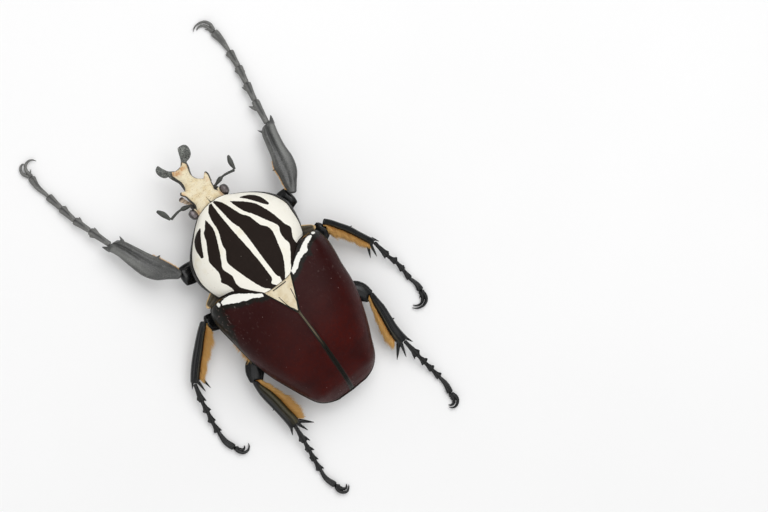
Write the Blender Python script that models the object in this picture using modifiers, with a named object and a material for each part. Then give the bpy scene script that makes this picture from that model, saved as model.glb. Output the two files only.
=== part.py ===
"""Goliath beetle (Goliathus goliatus, male) as a still, life-size model.

The head points along -Y, the back along +Z, and the beetle's left is +X. The origin is the flat
of the breast that rests on the floor, which also lies under the tip of the scutellum. Sizes are
in millimetres and are scaled to metres where a mesh is made.
"""
import math
from dataclasses import dataclass

import bmesh
import bpy
from mathutils import Vector

MM = 0.001
GAP = 0.3             # clearance between neighbouring pieces
NAME = "goliath_beetle"

# Shell of the back: half width, crest height and margin height against the place along the body
ELYTRA_HALF = ((-17.6, 20.2), (-15.6, 21.9), (-13.0, 22.3), (-8.0, 21.5), (2.2, 20.8), (10.3, 18.8),
               (18.0, 15.7), (24.8, 12.3), (27.6, 10.2), (29.2, 7.4), (29.9, 4.0), (30.1, 1.2))
ELYTRA_CREST = ((-18.0, 22.0), (-10.0, 23.0), (-3.0, 23.8), (5.0, 24.0), (12.0, 23.0), (20.0, 19.6),
                (25.0, 16.0), (28.0, 13.0), (30.1, 9.6))
ELYTRA_MARGIN = ((-18.0, 13.6), (-8.0, 11.6), (5.0, 10.4), (15.0, 9.6), (25.0, 8.6), (30.1, 8.2))
ELYTRA_ROUND = 2.5    # power of the shell's cross-section
ELYTRA_WALL = 1.0
ELYTRA_BOW = 1.5      # how far the middle of a wing case's front edge bulges forward
SUTURE_HALF_GAP = 0.15
SCUTELLUM_LENGTH = 9.5
SCUTELLUM_HALF = 4.6

PRONOTUM_HALF = ((-41.0, 7.0), (-39.0, 10.1), (-36.0, 13.9), (-32.8, 16.8), (-30.0, 18.2),
                 (-27.5, 18.5), (-24.0, 18.0), (-20.0, 17.4), (-18.4, 16.5), (-17.4, 15.6))
PRONOTUM_CREST = ((-42.6, 16.2), (-39.0, 18.3), (-34.0, 20.7), (-28.0, 22.5), (-20.0, 23.3),
                  (-9.9, 22.7))
PRONOTUM_MARGIN = ((-42.6, 12.6), (-36.0, 12.0), (-28.0, 11.8), (-17.0, 13.0))
PRONOTUM_ROUND = 2.2
PRONOTUM_WALL = 0.9
PRONOTUM_APEX = 1.6   # how far the middle of the front edge stands ahead of its corners
PRONOTUM_REAR = ((0.0, -9.9), (0.28, -10.1), (0.42, -11.4), (0.8, -15.6), (1.0, -17.4))

CORE_INSET = 1.6      # how far the trunk lies inside the shell's outer face
KEEL = 0.175          # share of the trunk's half width that is flat underneath
KEEL_SLOPE = 1.1      # power of the trunk's sides below the margin

KNEE_REACH = 0.34     # from the knee to the shin, as a share of the thigh's width
KNEE_RISE = 0.4
SHIN_BOW = 0.7        # how far the middle of a shin bows outwards
FRINGE_WALL = 0.8     # thickness that stands for a brush of hairs

HEAD_PIVOT = Vector((0.6, -41.0, 0.0))
HEAD_YAW = math.radians(6.0)
HEAD_HALF = ((-1.0, 4.5), (0.4, 4.7), (1.2, 4.3), (3.9, 4.3), (4.8, 4.3), (8.0, 4.1), (9.1, 3.6),
             (10.0, 2.6), (11.0, 2.0), (12.0, 1.9))
HEAD_TOP = ((-1.0, 14.9), (1.0, 15.1), (3.0, 15.7), (7.0, 15.0), (12.0, 14.0))
HEAD_UNDER = ((-1.0, 9.6), (3.0, 9.3), (7.0, 9.9), (10.0, 10.7), (12.0, 11.2))

FINISHES = {          # base colour, roughness, metallic
    "head_cream": ((0.74, 0.66, 0.45), 0.6, 0.0),
    "horn_dark": ((0.05, 0.055, 0.05), 0.6, 0.0),
    "eye_dark": ((0.03, 0.025, 0.03), 0.2, 0.0),
    "antenna_dark": ((0.04, 0.042, 0.038), 0.5, 0.0),
    "mouth_brown": ((0.30, 0.17, 0.08), 0.5, 0.0),
    "pronotum_striped": ((0.80, 0.77, 0.68), 0.7, 0.0),
    "scutellum_cream": ((0.77, 0.68, 0.46), 0.6, 0.0),
    "elytra_maroon": ((0.045, 0.008, 0.008), 0.4, 0.0),
    "breast_dark": ((0.03, 0.035, 0.025), 0.4, 0.0),
    "flange_brown": ((0.20, 0.11, 0.05), 0.6, 0.0),
    "leg_grey": ((0.06, 0.062, 0.066), 0.6, 0.0),
    "leg_black": ((0.012, 0.013, 0.016), 0.3, 0.0),
    "fringe_gold": ((0.55, 0.30, 0.08), 0.7, 0.0),
}


@dataclass(frozen=True)
class Leg:
    """One leg's joints in its pose, from the hip to the tip of the claw."""

    name: str
    hip: tuple
    hip_size: tuple
    knee: tuple
    thigh: float          # widest part of the femur
    shin_end: tuple
    shin_widths: tuple    # at the knee, at the widest place and at the foot end
    shin_depth: float
    foot: tuple           # far ends of the five tarsomeres
    foot_width: float
    claw_tip: tuple
    spur_side: float      # +1 where the outer teeth point to the beetle's left
    finish: str


LEGS = (
    Leg("fore_right", (-5.0, -27.2, 2.9), (3.1, 2.5, 2.4), (-22.0, -28.6, 8.6), 5.2,
        (-29.6, -51.6, 4.8), (3.0, 5.8, 4.4), 3.0,
        ((-30.6, -59.2, 3.1), (-31.9, -65.3, 2.3), (-33.0, -71.1, 1.5), (-33.6, -76.7, 0.84),
         (-33.6, -84.8, 0.64)), 2.5, (-28.4, -88.3, 0.55), -1.0, "leg_grey"),
    Leg("fore_left", (5.0, -27.2, 2.9), (3.1, 2.5, 2.4), (21.8, -27.8, 8.6), 5.2,
        (33.2, -51.2, 4.8), (3.0, 5.8, 4.4), 3.0,
        ((35.3, -57.8, 3.1), (37.0, -63.4, 2.3), (37.9, -69.1, 1.5), (38.8, -74.9, 0.84),
         (39.3, -82.7, 0.64)), 2.5, (34.9, -86.0, 0.55), 1.0, "leg_grey"),
    Leg("mid_right", (-7.4, -8.6, 2.2), (3.2, 2.4, 1.9), (-23.6, -17.4, 7.4), 4.8,
        (-33.4, -1.9, 3.8), (2.4, 3.2, 3.4), 2.6,
        ((-35.2, 3.2, 2.3), (-36.3, 7.3, 1.4), (-36.6, 10.6, 0.9), (-36.4, 14.2, 0.66),
         (-35.1, 19.9, 0.5)), 2.0, (-30.9, 21.0, 0.7), -1.0, "leg_black"),
    Leg("mid_left", (7.4, -8.6, 2.2), (3.2, 2.4, 1.9), (23.2, -16.0, 7.4), 4.8,
        (37.7, -0.7, 3.8), (2.4, 3.2, 3.4), 2.6,
        ((39.1, 4.6, 2.3), (39.4, 8.2, 1.4), (40.0, 11.5, 0.9), (40.2, 14.9, 0.66),
         (39.8, 21.6, 0.5)), 2.0, (35.5, 24.0, 0.7), 1.0, "leg_black"),
    Leg("hind_right", (-8.2, 7.2, 2.6), (4.0, 2.5, 2.1), (-21.8, 9.7, 6.4), 5.6,
        (-22.7, 28.0, 3.9), (2.6, 3.6, 4.0), 2.8,
        ((-23.6, 33.0, 2.4), (-23.9, 36.4, 1.5), (-24.3, 39.4, 0.95), (-24.6, 42.5, 0.68),
         (-24.1, 49.2, 0.52)), 2.1, (-21.4, 52.4, 0.7), -1.0, "leg_black"),
    Leg("hind_left", (8.2, 7.2, 2.6), (4.0, 2.5, 2.1), (21.9, 9.2, 6.4), 5.6,
        (21.2, 28.6, 3.9), (2.6, 3.6, 4.0), 2.8,
        ((21.4, 33.6, 2.4), (21.6, 36.7, 1.5), (22.1, 40.3, 0.95), (22.3, 43.9, 0.68),
         (21.5, 50.4, 0.52)), 2.1, (17.8, 52.8, 0.7), 1.0, "leg_black"),
)


def clear_scene():
    """Removes every object that the file opened with."""
    for obj in list(bpy.data.objects):
        bpy.data.objects.remove(obj, do_unlink=True)


def curve_at(knots, place):
    """The height, at place, of the smooth curve through (place, height) knots."""
    place = min(max(place, knots[0][0]), knots[-1][0])
    slopes = []
    for i in range(len(knots)):
        before = knots[max(i - 1, 0)]
        after = knots[min(i + 1, len(knots) - 1)]
        slopes.append((after[1] - before[1]) / (after[0] - before[0]))
    for i in range(len(knots) - 1):
        (x0, y0), (x1, y1) = knots[i], knots[i + 1]
        if place <= x1:
            break
    span = x1 - x0
    t = (place - x0) / span
    rise = t * t * (3 - 2 * t)
    return (y0 + (y1 - y0) * rise
            + span * (slopes[i] * t * (1 - t) ** 2 - slopes[i + 1] * t * t * (1 - t)))


def path_at(points, share):
    """The point at a share, 0 to 1, of the smooth path through the points."""
    steps = [(float(i), p) for i, p in enumerate(points)]
    place = share * (len(points) - 1)
    return Vector([curve_at([(s, p[axis]) for s, p in steps], place) for axis in range(3)])


def dome(half, crest, margin, power, across, place, inset=0.0):
    """Height of a domed shell at a share across its half width, and that half width."""
    width = curve_at(half, place) - inset
    low = curve_at(margin, place)
    high = max(curve_at(crest, place) - inset, low + 0.3)
    rise = (1.0 - min(abs(across), 1.0) ** power) ** (1.0 / power)
    return width, low + (high - low) * rise


def elytra_height(x, y):
    """Height of the wing cases' outer face above the floor at a place in plan."""
    across = min(abs(x) / max(curve_at(ELYTRA_HALF, y), 0.1), 1.0)
    return dome(ELYTRA_HALF, ELYTRA_CREST, ELYTRA_MARGIN, ELYTRA_ROUND, across, y)[1]


def finish(name):
    """The material of a finish, made once."""
    if name in bpy.data.materials:
        return bpy.data.materials[name]
    colour, roughness, metallic = FINISHES[name]
    made = bpy.data.materials.new(name)
    made.use_nodes = True
    shader = made.node_tree.nodes["Principled BSDF"]
    shader.inputs["Base Color"].default_value = (*colour, 1.0)
    shader.inputs["Roughness"].default_value = roughness
    shader.inputs["Metallic"].default_value = metallic
    return made


def collection(name):
    """The collection of that name, made once and linked to the scene."""
    if name not in bpy.data.collections:
        bpy.context.scene.collection.children.link(bpy.data.collections.new(name))
    return bpy.data.collections[name]


def add_object(name, verts, faces, look):
    """One object from points in millimetres, none below the floor, with its faces turned out."""
    bm = bmesh.new()
    made = [bm.verts.new((x * MM, y * MM, max(z, 0.0) * MM)) for x, y, z in verts]
    for face in faces:
        bm.faces.new([made[i] for i in face])
    bmesh.ops.recalc_face_normals(bm, faces=bm.faces)
    mesh = bpy.data.meshes.new(name)
    bm.to_mesh(mesh)
    bm.free()
    mesh.shade_smooth()
    mesh.materials.append(finish(look))
    obj = bpy.data.objects.new(name, mesh)
    collection(NAME).objects.link(obj)
    return obj


def loft(name, rings, look):
    """A closed body through rings of equally many points, with a fan on each end."""
    count = len(rings[0])
    verts = [point for ring in rings for point in ring]
    faces = []
    for r in range(len(rings) - 1):
        for i in range(count):
            j = (i + 1) % count
            faces.append((r * count + i, r * count + j, (r + 1) * count + j, (r + 1) * count + i))
    for r in (0, len(rings) - 1):
        centre = sum((Vector(p) for p in rings[r]), Vector()) / count
        verts.append(tuple(centre))
        for i in range(count):
            faces.append((r * count + i, r * count + (i + 1) % count, len(verts) - 1))
    return add_object(name, verts, faces, look)


def ring(centre, along, width, depth, sides, lean=0.0):
    """A flattened ring about a point, square to a direction, with one side level underneath."""
    along = Vector(along).normalized()
    side = along.cross(Vector((0, 0, 1))).normalized()
    up = side.cross(along)
    first = (0.75 * sides - 0.5) % 1.0
    points = []
    for i in range(sides):
        turn = 2 * math.pi * (i + first) / sides
        reach = width / 2 * math.cos(turn) + lean
        points.append(tuple(Vector(centre) + side * reach + up * (depth / 2 * math.sin(turn))))
    return points


def limb(name, path, widths, depths, sides, look, steps=None):
    """A tapering limb along a smooth path; widths and depths are (share, size) knots."""
    steps = steps or [i / 7 for i in range(8)]
    rings = []
    for share in steps:
        ahead = path_at(path, min(share + 0.02, 1.0)) - path_at(path, max(share - 0.02, 0.0))
        rings.append(ring(path_at(path, share), ahead, curve_at(widths, share),
                          curve_at(depths, share), sides))
    return loft(name, rings, look)


def ball(name, centre, size, look, segments=8, rows=6):
    """An ellipsoid of given half sizes, kept above the floor."""
    bm = bmesh.new()
    bmesh.ops.create_uvsphere(bm, u_segments=segments, v_segments=rows, radius=1.0)
    for vert in bm.verts:
        place = [vert.co[a] * size[a] + centre[a] for a in range(3)]
        vert.co = (place[0] * MM, place[1] * MM, max(place[2], 0.0) * MM)
    mesh = bpy.data.meshes.new(name)
    bm.to_mesh(mesh)
    bm.free()
    mesh.shade_smooth()
    mesh.materials.append(finish(look))
    obj = bpy.data.objects.new(name, mesh)
    collection(NAME).objects.link(obj)
    return obj


def combine(obj, others, operation):
    """Joins the others to an object, or cuts them from it, and removes them."""
    for other in others:
        modifier = obj.modifiers.new(other.name, "BOOLEAN")
        modifier.operation = operation
        modifier.solver = "EXACT"
        modifier.object = other
    bpy.context.view_layer.update()
    shaped = bpy.data.meshes.new_from_object(
        obj.evaluated_get(bpy.context.evaluated_depsgraph_get()))
    obj.modifiers.clear()
    old = obj.data
    obj.data = shaped
    bpy.data.meshes.remove(old)
    for other in others:
        bpy.data.objects.remove(other, do_unlink=True)
    return obj


def shell(name, rows, wall, look):
    """An open sheet of rows of points, outer face up, given a wall inwards by Solidify."""
    count = len(rows[0])
    verts = [point for row in rows for point in row]
    faces = []
    for r in range(len(rows) - 1):
        for i in range(count - 1):
            low = r * count + i
            faces.append((low, low + 1, low + count + 1, low + count))
    obj = add_object(name, verts, faces, look)
    upwards = sum(face.normal.z * face.area for face in obj.data.polygons)
    if upwards < 0:
        obj.data.flip_normals()
    modifier = obj.modifiers.new("wall", "SOLIDIFY")
    modifier.thickness = wall * MM
    modifier.offset = -1.0
    return obj


def make_pronotum():
    """The domed shield over the first body ring."""
    rows = []
    for r in range(9):
        t = r / 8
        row = []
        for i in range(15):
            across = math.sin((i / 14 - 0.5) * math.pi)
            front = PRONOTUM_HALF[0][0] - PRONOTUM_APEX * (1 - across * across)
            rear = curve_at(PRONOTUM_REAR, abs(across))
            side = PRONOTUM_HALF[0][0] + t * (PRONOTUM_HALF[-1][0] - PRONOTUM_HALF[0][0])
            y = front + t * (rear - front)
            width = curve_at(PRONOTUM_HALF, side)
            height = dome(PRONOTUM_HALF, PRONOTUM_CREST, PRONOTUM_MARGIN, PRONOTUM_ROUND,
                          across, y)[1]
            row.append((across * width, y, height))
        rows.append(row)
    return shell("pronotum", rows, PRONOTUM_WALL, "pronotum_striped")


def elytron_edges(t):
    """The inner and the outer edge of one wing case, in plan, at a share t of its length."""
    scutellum_share = 0.22
    if t < scutellum_share:
        s = t / scutellum_share
        inner = (SUTURE_HALF_GAP + (SCUTELLUM_HALF + GAP) * (1 - s),
                 0.4 - (SCUTELLUM_LENGTH + GAP) * (1 - s))
    else:
        inner = (SUTURE_HALF_GAP, 0.4 + 25.5 * (t - scutellum_share) / (1 - scutellum_share))
    front = ELYTRA_HALF[0][0]
    rear = ELYTRA_HALF[-1][0]
    y = front + (rear - front) * math.sin(t * math.pi / 2) ** 1.15
    return inner, (curve_at(ELYTRA_HALF, y), y)


def make_elytron(side):
    """One wing case; side is +1 for the beetle's left."""
    rows = []
    last = 11
    for r in range(last + 1):
        inner, outer = elytron_edges(r / last)
        if r == last:
            outer = (SUTURE_HALF_GAP, outer[1])
        row = []
        for i in range(10):
            share = math.sin(i / 9 * math.pi / 2)
            x = inner[0] + (outer[0] - inner[0]) * share
            bow = ELYTRA_BOW * math.sin(math.pi * share) * max(0.0, 1 - r / 3)
            y = inner[1] + (outer[1] - inner[1]) * share - bow
            row.append((side * x, y, elytra_height(x, y)))
        rows.append(row)
    word = "left" if side > 0 else "right"
    return shell("elytron_" + word, rows, ELYTRA_WALL, "elytra_maroon")


def make_scutellum():
    """The triangular plate between the wing cases' front ends."""
    rows = []
    for r in range(6):
        s = r / 5
        y = -SCUTELLUM_LENGTH + (SCUTELLUM_LENGTH - 0.1) * s
        half = SCUTELLUM_HALF * (1 - s) + 0.35 * s
        row = []
        for i in range(7):
            x = (i / 3 - 1) * half
            row.append((x, y, elytra_height(x, y)))
        rows.append(row)
    return shell("scutellum", rows, ELYTRA_WALL, "scutellum_cream")


def trunk_ring(place, top, belly, inset, sides=18, squeeze=1.0):
    """A closed ring of the trunk: under the shell above, keeled below."""
    half, crest, margin, power = top
    upper = sides // 2
    points = []
    for i in range(upper + 1):
        across = math.cos(i / upper * math.pi)
        width, height = dome(half, crest, margin, power, across, place, inset)
        points.append((across * width * squeeze, place, height))
    width, low = dome(half, crest, margin, power, 1.0, place, inset)
    bottom = curve_at(belly, place)
    for i in range(1, upper):
        across = -math.cos(i / upper * math.pi)
        rise = max(0.0, (abs(across) - KEEL) / (1 - KEEL)) ** KEEL_SLOPE
        points.append((across * width * squeeze, place, bottom + (low - bottom) * rise))
    return points


ELYTRA_TOP = (ELYTRA_HALF, ELYTRA_CREST, ELYTRA_MARGIN, ELYTRA_ROUND)
PRONOTUM_TOP = (PRONOTUM_HALF, PRONOTUM_CREST, PRONOTUM_MARGIN, PRONOTUM_ROUND)


def make_prosternum():
    """The flesh and underside of the first body ring, under the pronotum."""
    belly = ((-40.0, 8.2), (-36.0, 5.4), (-29.0, 4.2), (-22.0, 4.4), (-16.5, 6.2))
    rings = [trunk_ring(y, PRONOTUM_TOP, belly, CORE_INSET + (0.4 if y < -38.0 else 0.0))
             for y in (-38.9, -37.2, -34.4, -31.0, -27.0, -23.0, -19.4, -17.6)]
    return loft("prosternum", rings, "breast_dark")


def make_breast():
    """The second and third body rings, whose flat keel is what the beetle rests on."""
    belly = ((-17.2, 5.0), (-13.0, 2.2), (-8.0, 0.0), (9.0, 0.0), (13.0, 0.5))
    shoulder = ((-17.2, 0.42), (-14.0, 0.66), (-10.5, 0.9), (-6.0, 1.0), (13.0, 1.0))
    rings = []
    for y in (-17.2, -14.6, -11.4, -8.0, -4.0, 2.5, 8.0, 12.8):
        inset = CORE_INSET + (2.4 if y < -9.0 else 0.0)
        rings.append(trunk_ring(y, ELYTRA_TOP, belly, inset, squeeze=curve_at(shoulder, y)))
    return loft("metathorax", rings, "breast_dark")


def make_abdomen():
    """The ringed hind body under the wing cases."""
    belly = ((13.1, 0.5), (18.0, 1.3), (23.0, 3.0), (27.4, 5.2), (29.4, 6.8))
    rings = [trunk_ring(y, ELYTRA_TOP, belly, CORE_INSET)
             for y in (13.1, 16.0, 19.0, 22.0, 24.6, 26.6)]
    abdomen = loft("abdomen", rings, "breast_dark")
    rings = [trunk_ring(y, ELYTRA_TOP, belly, CORE_INSET + 0.6 * (y - 26.0), sides=16)
             for y in (26.9, 27.8, 28.5)]
    return abdomen, loft("pygidium", rings, "breast_dark")


def make_flange(side):
    """The brown flange that shows between the shield's corner and the wing case's shoulder."""
    word = "left" if side > 0 else "right"
    path = [(side * 17.0, -17.2, 11.6), (side * 18.2, -17.9, 12.6), (side * 19.6, -18.2, 12.9)]
    return limb("mesepimeron_" + word, path, ((0, 1.6), (0.5, 1.9), (1, 1.0)),
                ((0, 3.0), (0.5, 3.2), (1, 1.8)), 8, "flange_brown", [0, 0.25, 0.5, 0.75, 1])


def from_head(lateral, forward, height):
    """A place given in the turned head's own axes, in the beetle's."""
    ahead = Vector((math.sin(HEAD_YAW), -math.cos(HEAD_YAW), 0.0))
    left = Vector((math.cos(HEAD_YAW), math.sin(HEAD_YAW), 0.0))
    return HEAD_PIVOT + left * lateral + ahead * forward + Vector((0, 0, height))


def head_ring(forward, half, top, under, sides=14, square=3.0):
    """A boxy ring of the head or horn at a place along it."""
    points = []
    for i in range(sides):
        turn = 2 * math.pi * (i + 0.5) / sides
        c, s = math.cos(turn), math.sin(turn)
        x = math.copysign(abs(c) ** (2 / square), c) * half
        z = (top + under) / 2 + math.copysign(abs(s) ** (2 / square), s) * (top - under) / 2
        points.append(tuple(from_head(x, forward, z)))
    return points


def make_head():
    """The flat head plate with its two side lobes, the eyes and what is under the mouth."""
    stations = (-1.0, 0.4, 1.2, 2.6, 3.9, 4.8, 6.4, 8.0, 9.1, 10.0, 11.0, 12.0)
    rings = [head_ring(f, curve_at(HEAD_HALF, f), curve_at(HEAD_TOP, f), curve_at(HEAD_UNDER, f))
             for f in stations]
    head = loft("head", rings, "head_cream")
    lobes = []
    for side, word in ((1, "left"), (-1, "right")):
        path = [from_head(side * 3.4, 6.2, 13.6), from_head(side * 4.6, 8.0, 14.2),
                from_head(side * 5.1, 10.4, 15.0)]
        lobes.append(limb("lobe_" + word, path, ((0, 3.4), (0.5, 2.6), (1, 0.7)),
                          ((0, 1.8), (0.5, 1.3), (1, 0.6)), 8, "head_cream", [0, 0.3, 0.6, 0.8, 1]))
        ball("eye_" + word, from_head(side * 5.95, 2.6, 12.9), (1.3, 1.75, 1.6), "eye_dark")
        palp = [from_head(side * 4.0, 5.6, 8.6), from_head(side * 5.1, 7.4, 8.9),
                from_head(side * 5.5, 8.9, 9.3)]
        limb("palp_" + word, palp, ((0, 1.2), (0.6, 1.7), (1, 0.8)),
             ((0, 1.0), (0.6, 1.3), (1, 0.7)), 8, "mouth_brown", [0, 0.35, 0.7, 1])
    combine(head, lobes, "UNION")
    jaw = [head_ring(f, half, top, low, sides=12, square=2.4) for f, half, top, low in
           ((1.0, 2.2, 8.9, 7.4), (3.5, 3.0, 8.9, 7.0), (6.5, 2.8, 9.2, 7.6), (9.5, 1.8, 10.0, 9.0))]
    loft("mouthparts", jaw, "mouth_brown")
    return head


def make_horn():
    """The forked horn: its stem, and the two club-ended prongs."""
    stem = [head_ring(f, half, top, under, sides=12, square=2.6) for f, half, top, under in
            ((12.3, 1.95, 14.0, 11.2), (13.6, 2.2, 14.1, 11.4), (15.0, 2.8, 14.3, 11.8),
             (16.4, 3.3, 14.5, 12.3))]
    loft("horn_stem", stem, "head_cream")
    for side, word in ((1, "left"), (-1, "right")):
        path = [from_head(side * 2.55, 16.9, 13.5), from_head(side * 3.3, 17.8, 13.9),
                from_head(side * 4.7, 19.2, 14.6), from_head(side * 5.2, 20.5, 15.1),
                from_head(side * 5.0, 21.6, 15.5)]
        limb("horn_prong_" + word, path,
             ((0, 1.7), (0.2, 1.8), (0.5, 4.1), (0.75, 4.3), (0.92, 3.4), (1, 2.2)),
             ((0, 1.8), (0.2, 1.8), (0.5, 2.6), (0.75, 2.8), (0.92, 2.2), (1, 1.2)), 12,
             "horn_dark", [0, 0.2, 0.35, 0.5, 0.62, 0.75, 0.86, 0.94, 1])


def make_antenna(word, base, elbow, end, club_base, club_tip):
    """One feeler: the jointed stalk and the leaf-shaped club."""
    limb("antenna_stalk_" + word, [base, elbow, end],
         ((0, 0.9), (0.22, 1.5), (0.42, 1.5), (0.52, 0.8), (1, 0.95)),
         ((0, 0.9), (0.22, 1.3), (0.42, 1.3), (0.52, 0.8), (1, 0.9)), 6, "antenna_dark")
    middle = (Vector(club_base) + Vector(club_tip)) / 2
    limb("antenna_club_" + word, [club_base, middle, club_tip],
         ((0, 0.8), (0.3, 1.5), (0.6, 1.7), (0.9, 1.1), (1, 0.6)),
         ((0, 0.8), (0.5, 1.3), (1, 0.6)), 6, "antenna_dark", [0, 0.2, 0.4, 0.6, 0.8, 0.92, 1])


def femur_knots(leg, grow):
    """Width and depth knots of a thigh, grown by a clearance where it is a cutter."""
    wide = leg.thigh + grow
    widths = ((0, 0.55 * wide), (0.35, wide), (0.7, 0.86 * wide), (0.93, 0.66 * wide), (1, 0.4 * wide))
    depths = ((0, 0.5 * wide), (0.35, 0.84 * wide), (0.7, 0.78 * wide), (0.93, 0.6 * wide), (1, 0.36 * wide))
    return widths, depths


def make_femur(leg, name, grow=0.0):
    """The thigh from beside the hip out to the knee."""
    hip = Vector(leg.hip)
    knee = Vector(leg.knee)
    out = Vector((knee.x - hip.x, knee.y - hip.y, 0.0)).normalized()
    reach = leg.hip_size[0] + GAP - 0.1
    start = hip + out * reach
    middle = start.lerp(knee, 0.5) + Vector((0, 0, -0.9))
    widths, depths = femur_knots(leg, grow)
    return limb(name, [start - out * grow / 2, middle, knee + out * grow / 2], widths, depths, 8,
                leg.finish, [0, 0.12, 0.3, 0.5, 0.7, 0.86, 0.95, 1])


def spike(name, root, tip, width, look):
    """A blunt tooth or spur from its root inside the limb to its tip."""
    along = Vector(tip) - Vector(root)
    rings = [ring(root, along, width, width, 6), ring(tip, along, 0.5, 0.5, 6)]
    return loft(name, rings, look)


def shin_path(leg):
    """The shin's two ends and its bowed middle, its direction and its outer side."""
    knee = Vector(leg.knee)
    end = Vector(leg.shin_end)
    start = knee + (end - knee).normalized() * (KNEE_REACH * leg.thigh + GAP)
    start.z = knee.z + KNEE_RISE
    along = (end - start).normalized()
    side = Vector((-along.y, along.x, 0.0)).normalized()
    if side.x * leg.spur_side < 0:
        side = -side
    return start, start.lerp(end, 0.5) + side * SHIN_BOW, end, along, side


def make_tibia(leg):
    """The shin, with the teeth and spurs that grow from it."""
    start, bow, end, along, side = shin_path(leg)
    near, wide, far = leg.shin_widths
    deep = leg.shin_depth
    tibia = limb("tibia_" + leg.name, [start, bow, end],
                 ((0, near), (0.12, near * 1.15), (0.4, wide), (0.75, wide * 0.93), (0.95, far),
                  (1, far * 0.8)),
                 ((0, deep * 0.8), (0.4, deep), (0.95, deep * 0.9), (1, deep * 0.6)), 8,
                 leg.finish, [0, 0.12, 0.28, 0.45, 0.62, 0.78, 0.9, 0.96, 1])
    teeth = [(0.97, 1, 1.0, 1.9, 1.2), (0.9, -1, 1.6, 1.2, 1.0)]
    if leg.finish == "leg_black":
        teeth = [(0.55, 1, 1.1, 1.6, 1.1), (0.95, 1, 1.2, 2.4, 1.0), (0.96, -1, 0.8, 3.4, 1.0)]
    spikes = []
    for i, (place, way, out, on, thick) in enumerate(teeth):
        root = path_at([start, bow, end], place) + side * way * (far / 2 - 0.9)
        tip = root + side * way * (0.9 + out) + along * on
        spikes.append(spike(f"tooth_{leg.name}_{i}", root, tip, thick, leg.finish))
    return combine(tibia, spikes, "UNION")


def make_fringe(leg):
    """The brush of hairs along the inner edge of a mid or hind shin, as one thin solid."""
    start, bow, end, along, side = shin_path(leg)
    half = leg.shin_widths[1] / 2 + GAP
    reach = 2.9
    rings = []
    for share, wide in ((0.16, 0.5), (0.3, 0.8), (0.5, 1.0), (0.7, 0.95), (0.86, 0.55)):
        root = path_at([start, bow, end], share) - side * (half + reach * wide / 2)
        rings.append(ring(root, along, reach * wide, FRINGE_WALL, 6))
    return loft("fringe_" + leg.name, rings, "fringe_gold")


def make_tarsus(leg):
    """The five-jointed foot, each joint flaring to its far end."""
    start = Vector(leg.shin_end)
    first = Vector(leg.foot[0])
    start = start + (first - start).normalized() * (GAP + 0.5)
    joints = [start] + [Vector(p) for p in leg.foot]
    wide = leg.foot_width
    rings = []
    for i in range(5):
        a, b = joints[i], joints[i + 1]
        ahead = (joints[min(i + 2, 5)] - joints[max(i - 1, 0)])
        narrow = wide * 0.55
        lean = 0.18 * wide * leg.spur_side * -1.0
        full = wide * (0.78 if i == 4 else 1.0)
        depth = wide * (0.64 if i == 4 else 0.8)
        rings.append(ring(a.lerp(b, 0.06), b - a, narrow, narrow, 6))
        rings.append(ring(a.lerp(b, 0.55), ahead, full * 0.72, depth * 0.85, 6, lean * 0.3))
        rings.append(ring(a.lerp(b, 0.92), ahead, full, depth, 6, lean if i < 4 else 0.0))
    return loft("tarsus_" + leg.name, rings, leg.finish)


def make_claws(leg):
    """The pair of hooked claws, joined by the knuckle that they spring from."""
    ankle = Vector(leg.foot[3])
    end = Vector(leg.foot[4])
    ahead = (end - ankle).normalized()
    tip = Vector(leg.claw_tip)
    root = end + ahead * (GAP + 0.45)
    root.z = 0.75
    knuckle = ball("claws_" + leg.name, root, (0.75, 0.75, 0.7), leg.finish, 6, 4)
    hooks = []
    for i, lift in enumerate((0.9, -0.35)):
        crown = root + ahead * 3.1 + (tip - root) * 0.18 + Vector((0, 0, lift))
        point = Vector((tip.x, tip.y, max(tip.z + lift * 1.1, 0.2))) - ahead * lift * 0.5
        hooks.append(limb(f"hook_{leg.name}_{i}", [root + Vector((0, 0, lift * 0.2)), crown, point],
                          ((0, 0.9), (0.5, 0.85), (1, 0.5)), ((0, 0.9), (0.5, 0.8), (1, 0.5)), 5,
                          leg.finish, [0, 0.3, 0.55, 0.8, 1]))
    return combine(knuckle, hooks, "UNION")


def make_legs(trunk):
    """All six legs; the hips and thighs lie in grooves cut in the trunk."""
    cutters = {"fore": [], "mid": [], "hind": []}
    for leg in LEGS:
        pair = leg.name.split("_")[0]
        grown = tuple(size + GAP for size in leg.hip_size)
        cutters[pair].append(ball("groove_hip_" + leg.name, leg.hip, grown, leg.finish))
        cutters[pair].append(make_femur(leg, "groove_" + leg.name, grow=2 * GAP + 0.1))
    combine(trunk["prosternum"], cutters["fore"], "DIFFERENCE")
    combine(trunk["metathorax"], cutters["mid"] + cutters["hind"], "DIFFERENCE")
    for leg in LEGS:
        ball("coxa_" + leg.name, leg.hip, leg.hip_size, leg.finish)
        make_femur(leg, "femur_" + leg.name)
        make_tibia(leg)
        if leg.finish == "leg_black":
            make_fringe(leg)
        make_tarsus(leg)
        make_claws(leg)


def main():
    """Builds the beetle."""
    clear_scene()
    make_pronotum()
    make_scutellum()
    make_abdomen()
    for side in (1, -1):
        make_elytron(side)
        make_flange(side)
    trunk = {"prosternum": make_prosternum(), "metathorax": make_breast()}
    make_head()
    make_horn()
    make_antenna("right", (-4.9, -46.9, 11.0), (-8.0, -47.4, 11.4), (-11.2, -46.3, 11.6),
                 (-12.1, -46.9, 11.6), (-12.7, -51.3, 11.4))
    make_antenna("left", (6.0, -46.1, 11.0), (9.6, -46.5, 11.2), (13.1, -45.8, 11.2),
                 (13.6, -46.7, 11.2), (15.3, -50.8, 11.2))
    make_legs(trunk)


main()
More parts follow.
